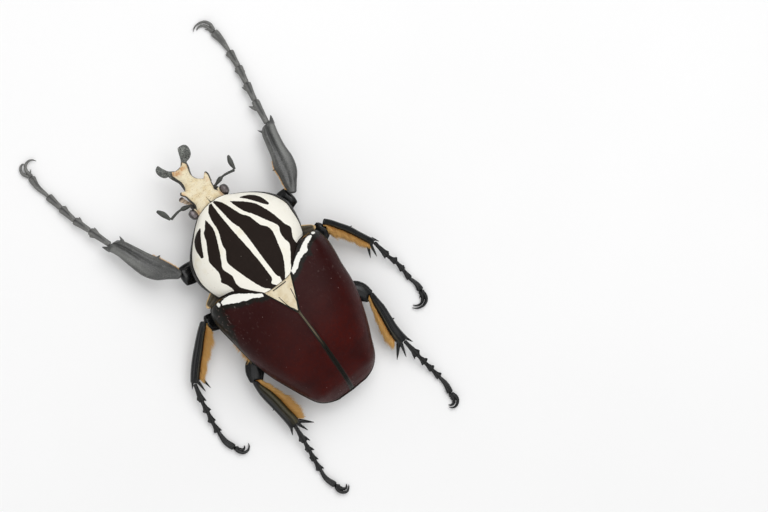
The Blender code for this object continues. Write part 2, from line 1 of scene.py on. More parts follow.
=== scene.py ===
"""Goliath beetle, male: the looks of a still, life-size museum model.

Lengths are millimetres. The head points along -Y, the beetle's left is +X and the floor is z = 0.
Each class is one sub-assembly: its fields are sizes, its methods build its pieces.
"""

import logging
import math
from dataclasses import dataclass, field
from enum import Enum
from typing import Callable, Sequence

import bmesh
import bpy
import numpy as np
from mathutils import Matrix, Vector


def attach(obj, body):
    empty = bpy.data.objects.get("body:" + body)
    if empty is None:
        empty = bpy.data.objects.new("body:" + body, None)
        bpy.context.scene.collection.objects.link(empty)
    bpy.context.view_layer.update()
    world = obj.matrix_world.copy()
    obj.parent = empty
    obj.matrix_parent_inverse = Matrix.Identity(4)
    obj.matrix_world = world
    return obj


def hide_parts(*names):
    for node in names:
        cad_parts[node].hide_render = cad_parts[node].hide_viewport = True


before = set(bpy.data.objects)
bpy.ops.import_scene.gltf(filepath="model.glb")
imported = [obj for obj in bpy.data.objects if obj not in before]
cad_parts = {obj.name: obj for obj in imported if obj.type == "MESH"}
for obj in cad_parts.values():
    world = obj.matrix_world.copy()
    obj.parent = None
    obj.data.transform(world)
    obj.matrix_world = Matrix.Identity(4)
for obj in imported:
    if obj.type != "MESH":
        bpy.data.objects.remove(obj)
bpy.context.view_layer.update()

MM = 0.001
LOG = logging.getLogger("goliath_beetle")
Array = np.ndarray
Knots = Sequence[tuple[float, ...]]
Pairs = Sequence[tuple[tuple[float, float], tuple[float, float]]]
Socket = bpy.types.NodeSocket
Feed = Socket | float


class Side(Enum):
    """The beetle's left and right, with the sign of X on that side."""

    LEFT = 1
    RIGHT = -1

    @property
    def word(self) -> str:
        """The side's name as it stands in the names of pieces."""
        return self.name.lower()


class LegKind(Enum):
    """The two kinds of leg: the broad fore legs, and the brushed mid and hind legs."""

    DIGGER = "leg_grey"
    WALKER = "leg_black"


# --- Curves, surfaces and meshes ---


def spline(knots: Knots, place: Array | float) -> Array:
    """Reads a smooth curve through its knots.

    Args:
        knots: Pairs of place and height, in rising order of place.
        place: Where to read the curve; beyond the knots it holds its end heights.

    Returns:
        The curve's height at each place.
    """
    xs = np.array([knot[0] for knot in knots])
    ys = np.array([knot[1] for knot in knots])
    at = np.clip(np.asarray(place, float), xs[0], xs[-1])
    index = np.arange(len(xs))
    before = np.maximum(index - 1, 0)
    after = np.minimum(index + 1, len(xs) - 1)
    slope = (ys[after] - ys[before]) / (xs[after] - xs[before])
    i = np.clip(np.searchsorted(xs, at, side="right") - 1, 0, len(xs) - 2)
    span = xs[i + 1] - xs[i]
    t = (at - xs[i]) / span
    level = ys[i] + (ys[i + 1] - ys[i]) * t * t * (3 - 2 * t)
    return level + span * (slope[i] * t * (1 - t) ** 2 - slope[i + 1] * t * t * (1 - t))


def along(points: Sequence[Sequence[float]], share: Array | float) -> Array:
    """Points at shares, 0 to 1, of the smooth path through the given points."""
    place = np.asarray(share, float) * (len(points) - 1)
    return np.stack([spline([(i, p[axis]) for i, p in enumerate(points)], place)
                     for axis in range(3)], -1)


def smooth(low: float | Array, high: float | Array, value: Array) -> Array:
    """A soft step of a value from 0 at low to 1 at high."""
    t = np.clip((value - low) / (high - low), 0.0, 1.0)
    return t * t * (3 - 2 * t)


def hump(centre: float, width: float, value: Array) -> Array:
    """A soft hump, 1 at the centre and near 0 beyond two widths."""
    return np.exp(-((value - centre) / width) ** 2)


def unit(vectors: Array) -> Array:
    """Vectors scaled to length one."""
    return vectors / np.maximum(np.linalg.norm(vectors, axis=-1, keepdims=True), 1e-9)


def squared(wave: Array, power: float) -> Array:
    """A cosine or sine bent towards a rounded square's; power 2 keeps it."""
    return np.sign(wave) * np.abs(wave) ** (2 / power)


def rounded(share: Array, ends: tuple[float, float], least: float) -> Array:
    """The part of a limb's full section that its rounded ends leave.

    Args:
        share: Places along the limb, from 0 to 1.
        ends: Share of the length over which each end rounds off.
        least: The square of the part that is left at the very ends.

    Returns:
        The part at each place.
    """
    first = np.clip(1 - share / ends[0], 0, 1)
    last = np.clip(1 - (1 - share) / ends[1], 0, 1)
    return np.sqrt(np.clip(1 - first ** 2, least, 1)) * np.sqrt(np.clip(1 - last ** 2, least, 1))


def flat(places: Sequence[Sequence[float]]) -> list[tuple[float, float, float]]:
    """Places in plan as points at height 0."""
    return [(*place, 0.0) for place in places]


def scaled(size: float, *knots: tuple[float, float]) -> Knots:
    """Knots whose heights are given in so many sizes."""
    return tuple((share, size * height) for share, height in knots)


def sided(pairs: Pairs, side: Side) -> Pairs:
    """Pairs of places, given for the left, on a side."""
    return [tuple((side.value * place[0], place[1]) for place in pair) for pair in pairs]


def ripple(points: Array, size: float, seed: int) -> Array:
    """Smooth irregular heights from -1 to 1 over points, from a few crossed waves.

    Args:
        points: Places in millimetres, one a row.
        size: About how far apart the crests are.
        seed: Which pattern.

    Returns:
        One height for each point.
    """
    rng = np.random.default_rng(seed)
    total = np.zeros(len(points))
    for _ in range(6):
        wave = rng.normal(size=3)
        wave *= 2 * math.pi / (size * rng.uniform(0.6, 1.7) * np.linalg.norm(wave))
        total += np.sin(points @ wave + rng.uniform(0, 2 * math.pi))
    return total / 6


@dataclass
class Shape:
    """A mesh in the making: points in millimetres, faces, and smooth values on the points."""

    points: Array
    faces: list[Array]
    values: dict[str, Array] = field(default_factory=dict)
    unwrap: Array | None = None

    def joined(self, *others: "Shape") -> "Shape":
        """This shape and others as one; a value that one of them lacks is 0 there.

        Args:
            *others: The other shapes.

        Returns:
            The joined shape.
        """
        shapes = [self, *others]
        starts = np.cumsum([0] + [len(s.points) for s in shapes])
        faces = [f + start for s, start in zip(shapes, starts) for f in s.faces]
        names = {name for s in shapes for name in s.values}
        values = {name: np.concatenate([s.values.get(name, np.zeros(len(s.points)))
                                        for s in shapes]) for name in names}
        return Shape(np.concatenate([s.points for s in shapes]), faces, values)

    def above(self, level: float) -> "Shape":
        """This shape with nothing below a level."""
        self.points[:, 2] = np.maximum(self.points[:, 2], level)
        return self

    def turned_out(self) -> "Shape":
        """This shape with its faces pointing outwards.

        Returns:
            The shape itself.
        """
        volume = 0.0
        for group in self.faces:
            for k in range(1, group.shape[1] - 1):
                a, b, c = (self.points[group[:, i]] for i in (0, k, k + 1))
                volume += float(np.einsum("ij,ij->i", a, np.cross(b, c)).sum())
        if volume < 0:
            self.faces = [group[:, ::-1] for group in self.faces]
        return self

    def mesh(self, name: str, scale: float = MM) -> bpy.types.Mesh:
        """Makes the Blender mesh, smooth shaded, with the values as point attributes.

        Args:
            name: The mesh's name.
            scale: Metres in one unit of the points.

        Returns:
            The mesh.
        """
        made = bpy.data.meshes.new(name)
        made.from_pydata((self.points * scale).tolist(), [],
                         [face for group in self.faces for face in group.tolist()])
        made.shade_smooth()
        for label, numbers in self.values.items():
            layer = made.attributes.new(label, "FLOAT", "POINT")
            layer.data.foreach_set("value", np.asarray(numbers, np.float32))
        if self.unwrap is not None:
            corner = np.zeros(len(made.loops), np.int32)
            made.loops.foreach_get("vertex_index", corner)
            layer = made.uv_layers.new(name="OFBake")
            layer.uv.foreach_set("vector", self.unwrap[corner].astype(np.float32).ravel())
        return made


def grid_quads(rows: int, columns: int, closed: bool = False) -> Array:
    """Faces of a grid of points, row after row, joined round each row if closed.

    Args:
        rows: Number of rows.
        columns: Points in each row.
        closed: Whether each row is joined to a ring.

    Returns:
        The faces, four points each.
    """
    i = np.arange(columns if closed else columns - 1)
    j = (i + 1) % columns
    base = (np.arange(rows - 1) * columns)[:, None]
    return np.stack([base + i, base + j, base + columns + j, base + columns + i], -1).reshape(-1, 4)


def tube(rings: Array, values: dict[str, Array] | None = None) -> Shape:
    """A closed body through rings of points.

    Args:
        rings: Array of ring, place round the ring, and coordinate.
        values: Values for each ring and place, by name.

    Returns:
        The body, with a fan of faces on each end.
    """
    rows, columns = rings.shape[:2]
    i = np.arange(columns)
    j = (i + 1) % columns
    last = rows * columns
    first_fan = np.stack([j, i, np.full(columns, last)], -1)
    last_fan = np.stack([i + last - columns, j + last - columns, np.full(columns, last + 1)], -1)
    tips = rings[[0, -1]].mean(1)
    points = np.concatenate([rings.reshape(-1, 3), tips])
    made = {}
    for name, numbers in (values or {}).items():
        made[name] = np.concatenate([numbers.ravel(), numbers[[0, -1]].mean(1)])
    faces = [grid_quads(rows, columns, closed=True), first_fan, last_fan]
    return Shape(points, faces, made).turned_out()


def sweep(path: Sequence[Sequence[float]], widths: Knots, depths: Knots, sides: int = 24,
          steps: int = 40, ends: tuple[float, float] = (0.04, 0.04),
          section: Callable[[Array, Array], tuple[Array, Array]] | None = None,
          up: Sequence[float] = (0.0, 0.0, 1.0)) -> Shape:
    """A rounded limb along a smooth path.

    Args:
        path: Points that the limb's middle passes through.
        widths: Full width, level and square to the path, as (share, size) knots.
        depths: Full depth, as (share, size) knots.
        sides: Points round each ring.
        steps: Rings along the path.
        ends: Share of the length over which each end rounds off.
        section: Gives a ring's sideways and upward reach, 1 at its edge, for the angle and
            the share along the path; None is an ellipse.
        up: The direction that counts as up.

    Returns:
        The closed body, with the values "place" (share along) and "turn" (cosine round it).
    """
    share = 0.5 - 0.5 * np.cos(np.linspace(0.0, math.pi, steps))
    share = 0.35 * share + 0.65 * np.linspace(0.0, 1.0, steps)
    centre = along(path, share)
    ahead = unit(along(path, np.minimum(share + 0.01, 1.0)) - along(path, np.maximum(share - 0.01, 0.0)))
    side = unit(np.cross(ahead, np.asarray(up, float)))
    rise = np.cross(side, ahead)
    cap = rounded(share, ends, 0.004)
    turn = 2 * math.pi * np.arange(sides) / sides
    angles, shares = np.meshgrid(turn, share)
    reach, lift = (np.cos(angles), np.sin(angles)) if section is None else section(angles, shares)
    wide = (spline(widths, share) / 2 * cap)[:, None] * reach
    deep = (spline(depths, share) / 2 * cap)[:, None] * lift
    rings = centre[:, None] + side[:, None] * wide[..., None] + rise[:, None] * deep[..., None]
    return tube(rings, {"place": shares, "turn": np.cos(angles)})


def ribbon(pairs: Pairs, levels: Knots, depths: Knots, sides: int = 40, steps: int = 44,
           ends: tuple[float, float] = (0.04, 0.1), carve: Callable[[Array, Array], Array] | None = None,
           power: float = 2.4) -> Shape:
    """A flattened limb between an inner and an outer edge.

    Args:
        pairs: Pairs of inner and outer place in plan, from root to tip.
        levels: Height of the middle, as (share, height) knots.
        depths: Thickness, as (share, size) knots.
        sides: Points round each ring.
        steps: Rings along the limb.
        ends: Share of the length over which each end rounds off.
        carve: Gives the share cut from the top for the place across (-1 inner, 1 outer) and along.
        power: How boxy the section is; 2 is an ellipse.

    Returns:
        The closed body, with the values "place" (share along) and "turn" (place across).
    """
    share = np.linspace(0, 1, steps)
    share = np.clip(share + 0.25 * np.sin(2 * math.pi * share) / (-2 * math.pi), 0, 1)
    inner, outer = (along(flat(edge), share) for edge in zip(*pairs))
    cap = rounded(share, ends, 0.02)
    middle, reach = (inner + outer) / 2, (outer - inner) / 2 * (0.3 + 0.7 * cap)[:, None]
    turn = 2 * math.pi * np.arange(sides) / sides
    c, s = squared(np.cos(turn), power), squared(np.sin(turn), power)
    points = middle[:, None] + reach[:, None] * c[None, :, None]
    across, place = np.meshgrid(c, share)
    lift = np.broadcast_to(s, across.shape)
    if carve is not None:
        lift = np.where(lift > 0, lift * (1 - carve(across, place)), lift)
    points[..., 2] = spline(levels, share)[:, None] + (spline(depths, share) / 2 * cap)[:, None] * lift
    return tube(points, {"place": place, "turn": across})


def boxy(power: float) -> Callable[[Array, Array], tuple[Array, Array]]:
    """A ring's section between an ellipse, power 2, and a rounded box."""
    def section(angle: Array, share: Array) -> tuple[Array, Array]:
        """The ring's reach sideways and upwards at an angle."""
        return squared(np.cos(angle), power), squared(np.sin(angle), power)
    return section


def normals_of(sheet: Array) -> Array:
    """Unit normals of a grid of points, rows by columns, that point up on the whole.

    Args:
        sheet: The points, rows by columns.

    Returns:
        One normal for each point.
    """
    across = np.gradient(sheet, axis=1)
    down = np.gradient(sheet, axis=0)
    found = unit(np.cross(across, down))
    return found if found[..., 2].sum() > 0 else -found


def walled(sheet: Array, wall: float, values: dict[str, Array], rolls: int = 5, bulge: float = 0.4,
           normal: Array | None = None) -> Shape:
    """A closed plate: a sheet, its rounded rim and its inner face.

    Args:
        sheet: The outer face, rows by columns of points.
        wall: The plate's thickness, measured inwards.
        values: Values for each point of the sheet, by name; the rim and inside repeat them.
        rolls: Loops of points round the rim's half circle.
        bulge: How far the rim stands out, as a share of a half circle.
        normal: The directions that the wall is measured along; None is square to the sheet.

    Returns:
        The plate, with the value "inside" running from 0 on the outer face to 1.
    """
    rows, columns = sheet.shape[:2]
    normal = normals_of(sheet) if normal is None else normal
    inner = sheet - normal * wall
    count = rows * columns
    index = np.arange(count).reshape(rows, columns)
    loop = np.concatenate([index[0, :-1], index[:-1, -1], index[-1, :0:-1], index[:0:-1, 0]])
    flat = sheet.reshape(-1, 3)
    tangent = np.roll(flat[loop], -1, 0) - np.roll(flat[loop], 1, 0)
    out = unit(np.cross(tangent, normal.reshape(-1, 3)[loop]))
    middle = flat.mean(0)
    if np.einsum("ij,ij->i", out, flat[loop] - middle).sum() < 0:
        out = -out
    points = [flat, inner.reshape(-1, 3)]
    quads = grid_quads(rows, columns)
    faces = [quads, quads[:, ::-1] + count]
    mid = (flat[loop] + inner.reshape(-1, 3)[loop]) / 2
    half = (flat[loop] - inner.reshape(-1, 3)[loop]) / 2
    previous = loop
    for k in range(1, rolls + 1):
        turn = math.pi * k / (rolls + 1)
        points.append(mid + half * math.cos(turn) + out * (bulge * wall / 2 * math.sin(turn)))
        current = 2 * count + (k - 1) * len(loop) + np.arange(len(loop))
        faces.append(np.stack([previous, current, np.roll(current, -1), np.roll(previous, -1)], -1))
        previous = current
    last = loop + count
    faces.append(np.stack([previous, last, np.roll(last, -1), np.roll(previous, -1)], -1))
    made = {name: np.concatenate([v.ravel(), v.ravel(), *[v.ravel()[loop]] * rolls])
            for name, v in values.items()}
    made["inside"] = np.concatenate([np.zeros(count), np.ones(count),
                                     *[np.full(len(loop), k / rolls) for k in range(rolls)]])
    faces[2:] = [group[:, ::-1] for group in faces[2:]]
    return Shape(np.concatenate(points), faces, made).turned_out()


def fused(shapes: Sequence[Shape], voxel: float, passes: int) -> Shape:
    """Melts overlapping bodies into one skin.

    Args:
        shapes: Closed bodies that overlap.
        voxel: Size of the skin's faces.
        passes: How often the skin is smoothed.

    Returns:
        One closed body without values.
    """
    mesh = shapes[0].joined(*shapes[1:]).mesh("melt", scale=1.0)
    lump = bpy.data.objects.new("melt", mesh)
    bpy.context.scene.collection.objects.link(lump)
    remesh = lump.modifiers.new("skin", "REMESH")
    remesh.mode = "VOXEL"
    remesh.voxel_size = voxel
    if passes:
        soften = lump.modifiers.new("soften", "SMOOTH")
        soften.factor = 0.5
        soften.iterations = passes
    bpy.context.view_layer.update()
    graph = bpy.context.evaluated_depsgraph_get()
    skin = bpy.data.meshes.new_from_object(lump.evaluated_get(graph))
    points = np.zeros(len(skin.vertices) * 3, np.float32)
    skin.vertices.foreach_get("co", points)
    sizes = np.zeros(len(skin.polygons), np.int32)
    skin.polygons.foreach_get("loop_total", sizes)
    corners = np.zeros(len(skin.loops), np.int32)
    skin.loops.foreach_get("vertex_index", corners)
    starts = np.concatenate([[0], np.cumsum(sizes)[:-1]])
    faces = [corners[starts[sizes == n][:, None] + np.arange(n)] for n in np.unique(sizes)]
    bpy.data.objects.remove(lump, do_unlink=True)
    bpy.data.meshes.remove(mesh)
    bpy.data.meshes.remove(skin)
    return Shape(points.reshape(-1, 3).astype(float), faces)


# --- Shader wiring and shared effects ---


def paint(red: int, green: int, blue: int) -> tuple[float, float, float, float]:
    """A display colour, 0 to 255, as the shader's linear colour."""
    linear = [(c / 255 / 12.92) if c <= 10 else ((c / 255 + 0.055) / 1.055) ** 2.4
              for c in (red, green, blue)]
    return (*linear, 1.0)


@dataclass
class Wiring:
    """Short ways to place and join nodes in one tree."""

    tree: bpy.types.NodeTree

    def add(self, kind: str, feeds: dict | None = None, **settings) -> bpy.types.Node:
        """Places a node.

        Args:
            kind: The node's type, without the leading ShaderNode.
            feeds: A socket or constant for each input, by name or number.
            **settings: Properties of the node.

        Returns:
            The node.
        """
        node = self.tree.nodes.new(kind if kind.startswith("NodeGroup") else "ShaderNode" + kind)
        for name, value in settings.items():
            setattr(node, name, value)
        for name, value in (feeds or {}).items():
            self.feed(node.inputs[name], value)
        return node

    def feed(self, socket: Socket, value: Feed | tuple) -> None:
        """Links another node's socket to a socket, or sets it to a constant."""
        if isinstance(value, Socket):
            self.tree.links.new(value, socket)
        else:
            socket.default_value = value

    def math(self, operation: str, first: Feed, second: Feed) -> Socket:
        """The result of a Math node."""
        return self.add("Math", {0: first, 1: second}, operation=operation).outputs[0]

    def times(self, first: Feed, second: Feed) -> Socket:
        """A product."""
        return self.math("MULTIPLY", first, second)

    def plus(self, first: Feed, second: Feed) -> Socket:
        """A sum."""
        return self.math("ADD", first, second)

    def blend(self, share: Feed, under: Socket | tuple, over: Socket | tuple) -> Socket:
        """A colour between two others."""
        return self.add("Mix", {0: share, 6: under, 7: over}, data_type="RGBA").outputs[2]

    def coated(self, ground: Socket | tuple, *coats: tuple) -> Socket:
        """A ground colour under coats, each given as its mask, its strength and its colour."""
        for mask, strength, colour in coats:
            ground = self.blend(mask if strength == 1.0 else self.times(mask, strength), ground, colour)
        return ground

    def between(self, value: Socket, low: Feed, high: Feed, start: float = 0.0, end: float = 1.0) -> Socket:
        """A soft step of a value, from start at low to end at high."""
        feeds = {"Value": value, "From Min": low, "From Max": high, "To Min": start, "To Max": end}
        return self.add("MapRange", feeds, interpolation_type="SMOOTHSTEP").outputs[0]

    def value(self, name: str) -> Socket:
        """A value that the mesh carries on its points."""
        return self.add("Attribute", attribute_name=name).outputs["Fac"]

    def place(self) -> Socket:
        """The place on the piece, in the model's own frame."""
        return self.add("TexCoord").outputs["Object"]

    def stretched(self, place: Socket, scale: tuple, turn: float = 0.0) -> Socket:
        """The place on a stretched and turned copy of the piece."""
        feeds = {"Vector": place, "Scale": scale, "Rotation": (0.0, 0.0, turn)}
        return self.add("Mapping", feeds).outputs[0]

    def noise(self, place: Socket, per_mm: Socket, detail: float = 3.0) -> Socket:
        """Soft noise from 0 to 1 with so many blotches to a millimetre."""
        feeds = {"Vector": place, "Scale": self.times(per_mm, 1 / MM), "Detail": detail, "Roughness": 0.55}
        return self.add("TexNoise", feeds).outputs[0]

    def cells(self, place: Socket, per_mm: Feed, loose: float = 1.0) -> bpy.types.Node:
        """A cell pattern with so many cells to a millimetre."""
        scale = self.times(per_mm, 1 / MM) if isinstance(per_mm, Socket) else per_mm / MM
        return self.add("TexVoronoi", {"Vector": place, "Scale": scale, "Randomness": loose})

    def relief(self, height: Socket, depth: float) -> Socket:
        """The normal of a relief from a height, 0 to 1, and a depth in millimetres."""
        feeds = {"Strength": 1.0, "Distance": depth * MM, "Height": height}
        return self.add("Bump", feeds).outputs["Normal"]


def grouped(wire: Callable, outputs: Sequence[str], inputs: dict[str, float]) -> bpy.types.NodeTree:
    """Makes the node group of a shared effect.

    Args:
        wire: Places the effect's nodes, and returns what it puts out.
        outputs: Names of its outputs.
        inputs: Defaults of its number inputs.

    Returns:
        The node group, under the name of the function that wires it.
    """
    tree = bpy.data.node_groups.new(wire.__name__, "ShaderNodeTree")
    tree.interface.new_socket(name="Place", in_out="INPUT", socket_type="NodeSocketVector")
    for label, default in inputs.items():
        label = label.replace("_", " ").capitalize()
        number = tree.interface.new_socket(name=label, in_out="INPUT", socket_type="NodeSocketFloat")
        number.default_value = default
    for label in outputs:
        tree.interface.new_socket(name=label, in_out="OUTPUT", socket_type="NodeSocketFloat")
    w = Wiring(tree)
    start, end = w.add("NodeGroupInput"), w.add("NodeGroupOutput")
    made = wire(w, *start.outputs[:len(inputs) + 1])
    for socket, value in zip(end.inputs, made if isinstance(made, tuple) else (made,)):
        w.feed(socket, value)
    return tree


def effect(*outputs: str, **inputs: float) -> Callable:
    """Turns a function that wires nodes into a shared effect.

    Args:
        *outputs: Names of the values or masks that the effect puts out.
        **inputs: Its number inputs and their defaults; every effect also takes a place.

    Returns:
        A decorator. The function that it makes places the effect and gives its outputs.
    """
    def share(wire: Callable) -> Callable:
        """Makes the function that places the effect."""
        def placed(w: Wiring, place: Socket, *numbers: Feed) -> Socket | tuple[Socket, ...]:
            """Places the effect, whose node group is made on its first use.

            Args:
                w: Wiring of the tree.
                place: The place on the piece.
                *numbers: The effect's number inputs, in order.

            Returns:
                Its output, or all of them.
            """
            tree = bpy.data.node_groups.get(wire.__name__) or grouped(wire, outputs, inputs)
            node = w.add("Group", dict(enumerate((place, *numbers))), node_tree=tree)
            return tuple(node.outputs) if len(outputs) > 1 else node.outputs[0]
        return placed
    return share


@effect("Height", "Mask", per_mm=4.0, granules=0.6)
def grain(w: Wiring, place: Socket, per_mm: Socket, granules: Socket) -> tuple[Socket, Socket]:
    """Fine grained relief: raised granules on broader unevenness.

    Args:
        w: Wiring of the effect.
        place: The place on the piece.
        per_mm: Granules to a millimetre.
        granules: How much they stand out.

    Returns:
        The height, and a mask of the granules.
    """
    cells = w.cells(place, per_mm, 0.9)
    raised = w.between(cells.outputs["Distance"], 0.1, 0.62, 1.0, 0.0)
    broad = w.noise(place, w.times(per_mm, 0.35))
    return w.plus(w.times(raised, granules), broad), raised


@effect("Mask", distance=0.0, teeth=0.3, per_mm=2.0, soft=0.05)
def ragged(w: Wiring, place: Socket, distance: Socket, teeth: Socket, per_mm: Socket,
           soft: Socket) -> Socket:
    """A mark's mask from its distance field, with a ragged edge.

    Args:
        w: Wiring of the effect.
        place: The place on the piece.
        distance: The distance inside the mark.
        teeth: How far the edge strays.
        per_mm: Teeth to a millimetre.
        soft: Half the width of the soft edge.

    Returns:
        The mask.
    """
    rough = w.math("SUBTRACT", w.noise(place, per_mm, 2.0), 0.5)
    return w.between(w.plus(distance, w.times(rough, teeth)), w.times(soft, -1.0), soft)


@effect("Mask", per_mm=1.0, share=0.1, size=0.25)
def specks(w: Wiring, place: Socket, per_mm: Socket, share: Socket, size: Socket) -> Socket:
    """Scattered specks: a share of the cells of a fine pattern each hold one.

    Args:
        w: Wiring of the effect.
        place: The place on the piece.
        per_mm: Cells to a millimetre.
        share: The share of cells with a speck.
        size: A speck's size in its cell.

    Returns:
        The mask.
    """
    cells = w.cells(place, per_mm)
    chosen = w.add("SeparateColor", {0: cells.outputs["Color"]})
    reach = w.times(size, w.plus(chosen.outputs[1], 0.35))
    inside = w.between(cells.outputs["Distance"], w.times(reach, 0.5), reach, 1.0, 0.0)
    return w.times(w.math("LESS_THAN", chosen.outputs[0], share), inside)


@effect("Mask", per_mm=0.3, low=0.4, high=0.7)
def clouds(w: Wiring, place: Socket, per_mm: Socket, low: Socket, high: Socket) -> Socket:
    """Soft uneven patches between two levels of noise."""
    return w.between(w.noise(place, per_mm, 4.0), low, high)


@effect("Height", per_mm=2.0, size=0.25)
def pits(w: Wiring, place: Socket, per_mm: Socket, size: Socket) -> Socket:
    """Small round punctures, as an insect's shell has."""
    cells = w.cells(place, per_mm)
    return w.times(w.between(cells.outputs["Distance"], 0.04, size, 1.0, 0.0), -1.0)


# --- Finishes ---


@dataclass(frozen=True)
class Finish:
    """A finish; each kind wires its own nodes to the inputs of a Principled shader."""

    name: str

    def material(self) -> bpy.types.Material:
        """The finish's material, made once.

        Returns:
            The material.
        """
        made = bpy.data.materials.get(self.name)
        if made is None:
            made = bpy.data.materials.new(self.name)
            made.use_nodes = True
            shader = made.node_tree.nodes["Principled BSDF"]
            w = Wiring(made.node_tree)
            for name, value in self.inputs(w).items():
                w.feed(shader.inputs[name], value)
        return made

    def inputs(self, w: Wiring) -> dict[str, Feed]:
        """What feeds the shader's inputs, by name."""
        raise NotImplementedError


@dataclass(frozen=True)
class ShieldFinish(Finish):
    """White bloom with velvety black bands; values: white (distance inside the white), bead."""

    name: str = "shield_striped"
    white: tuple = paint(243, 240, 229)
    ivory: tuple = paint(228, 219, 190)
    velvet: tuple = paint(33, 25, 21)
    horn: tuple = paint(26, 25, 23)

    def inputs(self, w: Wiring) -> dict[str, Feed]:
        """Marks, faint stains, pin-prick specks and the dark rolled edge.

        Args:
            w: Wiring of the material.

        Returns:
            What feeds the shader's inputs, by name.
        """
        place, bead = w.place(), w.value("bead")
        mark = ragged(w, place, w.value("white"), 0.28, 1.2, 0.045)
        cracks = clouds(w, w.stretched(place, (0.35, 1.0, 1.0), 0.6), 1.2, 0.66, 0.72)
        bloom = w.coated(self.white, (clouds(w, place, 0.22, 0.52, 0.78), 0.5, self.ivory),
                         (specks(w, place, 1.1, 0.16, 0.16), 0.4, paint(150, 138, 110)),
                         (cracks, 0.3, paint(188, 180, 158)))
        dark = w.coated(self.velvet, (clouds(w, place, 0.6, 0.3, 0.8), 0.5, paint(40, 31, 27)),
                        (specks(w, place, 0.6, 0.3, 0.1), 0.45, paint(128, 120, 112)),
                        (bead, 1.0, self.horn))
        colour = w.coated(dark, (mark, 1.0, bloom), (w.value("inside"), 1.0, paint(46, 40, 34)))
        rough = w.plus(w.between(bead, 0.0, 1.0, 0.7, 0.34), w.times(mark, 0.06))
        height = w.plus(grain(w, place, 7.0, 0.5)[0], w.times(mark, 1.6))
        return {"Base Color": colour, "Roughness": rough, "Coat Weight": w.times(bead, 0.8),
                "Coat Roughness": 0.18, "Specular IOR Level": 0.1, "Normal": w.relief(height, 0.035)}


@dataclass(frozen=True)
class WingCaseFinish(Finish):
    """Dark maroon satin with green-black edges; values: white, dark, pale, scuff, inside."""

    name: str = "wing_case_maroon"
    maroon: tuple = paint(64, 14, 9)
    deep: tuple = paint(46, 12, 10)
    edge: tuple = paint(24, 24, 20)
    white: tuple = paint(240, 239, 232)

    def inputs(self, w: Wiring) -> dict[str, Feed]:
        """Maroon ground, darker in front and at the edges, scuffs, specks and the white marks.

        Args:
            w: Wiring of the material.

        Returns:
            What feeds the shader's inputs, by name.
        """
        place, dark = w.place(), w.value("dark")
        mark = ragged(w, place, w.value("white"), 0.7, 1.1, 0.05)
        mottle = clouds(w, place, 0.9, 0.35, 0.75)
        worn = clouds(w, w.stretched(place, (1.0, 0.55, 1.0)), 1.4, 0.58, 0.74)
        along_y = w.add("SeparateXYZ", {"Vector": place}).outputs[1]
        edged = w.plus(dark, w.times(w.math("SUBTRACT", mottle, 0.5), 0.45))
        colour = w.coated(
            self.deep, (clouds(w, place, 0.09, 0.3, 0.65), 1.0, self.maroon),
            (w.between(along_y, 12.0 * MM, -6.0 * MM), 0.8, paint(40, 9, 8)),
            (mottle, 0.5, paint(46, 15, 17)), (w.between(edged, 0.1, 0.9), 1.0, self.edge),
            (specks(w, place, 2.2, 0.12, 0.17), 0.5, paint(100, 42, 34)),
            (w.times(worn, w.value("scuff")), 0.24, paint(122, 104, 100)),
            (specks(w, place, 0.62, 0.3, 0.085), 0.6, paint(168, 140, 136)),
            (w.value("pale"), 1.0, paint(150, 138, 114)), (mark, 1.0, self.white),
            (w.value("inside"), 1.0, paint(30, 27, 21)))
        rough = w.plus(w.between(mottle, 0.0, 1.0, 0.36, 0.46), w.times(mark, 0.25))
        height = w.plus(grain(w, place, 5.0, 0.35)[0], w.times(pits(w, place, 1.3, 0.16), 0.8))
        return {"Base Color": colour, "Roughness": w.plus(rough, w.times(dark, -0.08)),
                "Specular IOR Level": 0.085,
                "Normal": w.relief(w.plus(height, w.times(mark, 1.8)), 0.03)}


@dataclass(frozen=True)
class CreamFinish(Finish):
    """Cream bloom on dark shell; values: dark (distance into the dark) and stain."""

    name: str = "cream_bloom"
    cream: tuple = paint(233, 222, 192)
    warm: tuple = paint(222, 202, 158)
    stain: tuple = paint(196, 128, 62)
    shell: tuple = paint(40, 38, 33)
    speckle: float = 1.0

    def inputs(self, w: Wiring) -> dict[str, Feed]:
        """Bloom with fine dark specks, orange stains and the bare dark shell at its edges.

        Args:
            w: Wiring of the material.

        Returns:
            What feeds the shader's inputs, by name.
        """
        place = w.place()
        bare = ragged(w, place, w.value("dark"), 0.22, 2.4, 0.07)
        warm = clouds(w, place, 0.42, 0.42, 0.68)
        blots = specks(w, place, 1.6, 0.08 * self.speckle, 0.15)
        flecks = w.times(clouds(w, place, 2.7, 0.6, 0.68), w.between(warm, 0.0, 1.0, 0.4, 0.85))
        veins = clouds(w, w.stretched(place, (0.5, 1.0, 1.0), 0.9), 3.2, 0.52, 0.7)
        shell = w.coated(self.shell, (clouds(w, place, 3.4, 0.4, 0.7), 0.5, paint(112, 110, 104)))
        stained = w.times(clouds(w, place, 0.8, 0.36, 0.66), w.value("stain"))
        colour = w.coated(self.cream, (warm, 0.75, self.warm), (stained, 1.0, self.stain),
                          (veins, 0.5 * self.speckle, paint(196, 166, 132)),
                          (flecks, self.speckle, paint(112, 88, 64)), (blots, 0.8, paint(66, 54, 42)),
                          (bare, 1.0, shell))
        height = w.plus(grain(w, place, 4.5, 0.7)[0], w.times(blots, -0.8))
        return {"Base Color": colour, "Roughness": w.between(bare, 0.0, 1.0, 0.68, 0.42),
                "Specular IOR Level": 0.35, "Normal": w.relief(height, 0.045)}


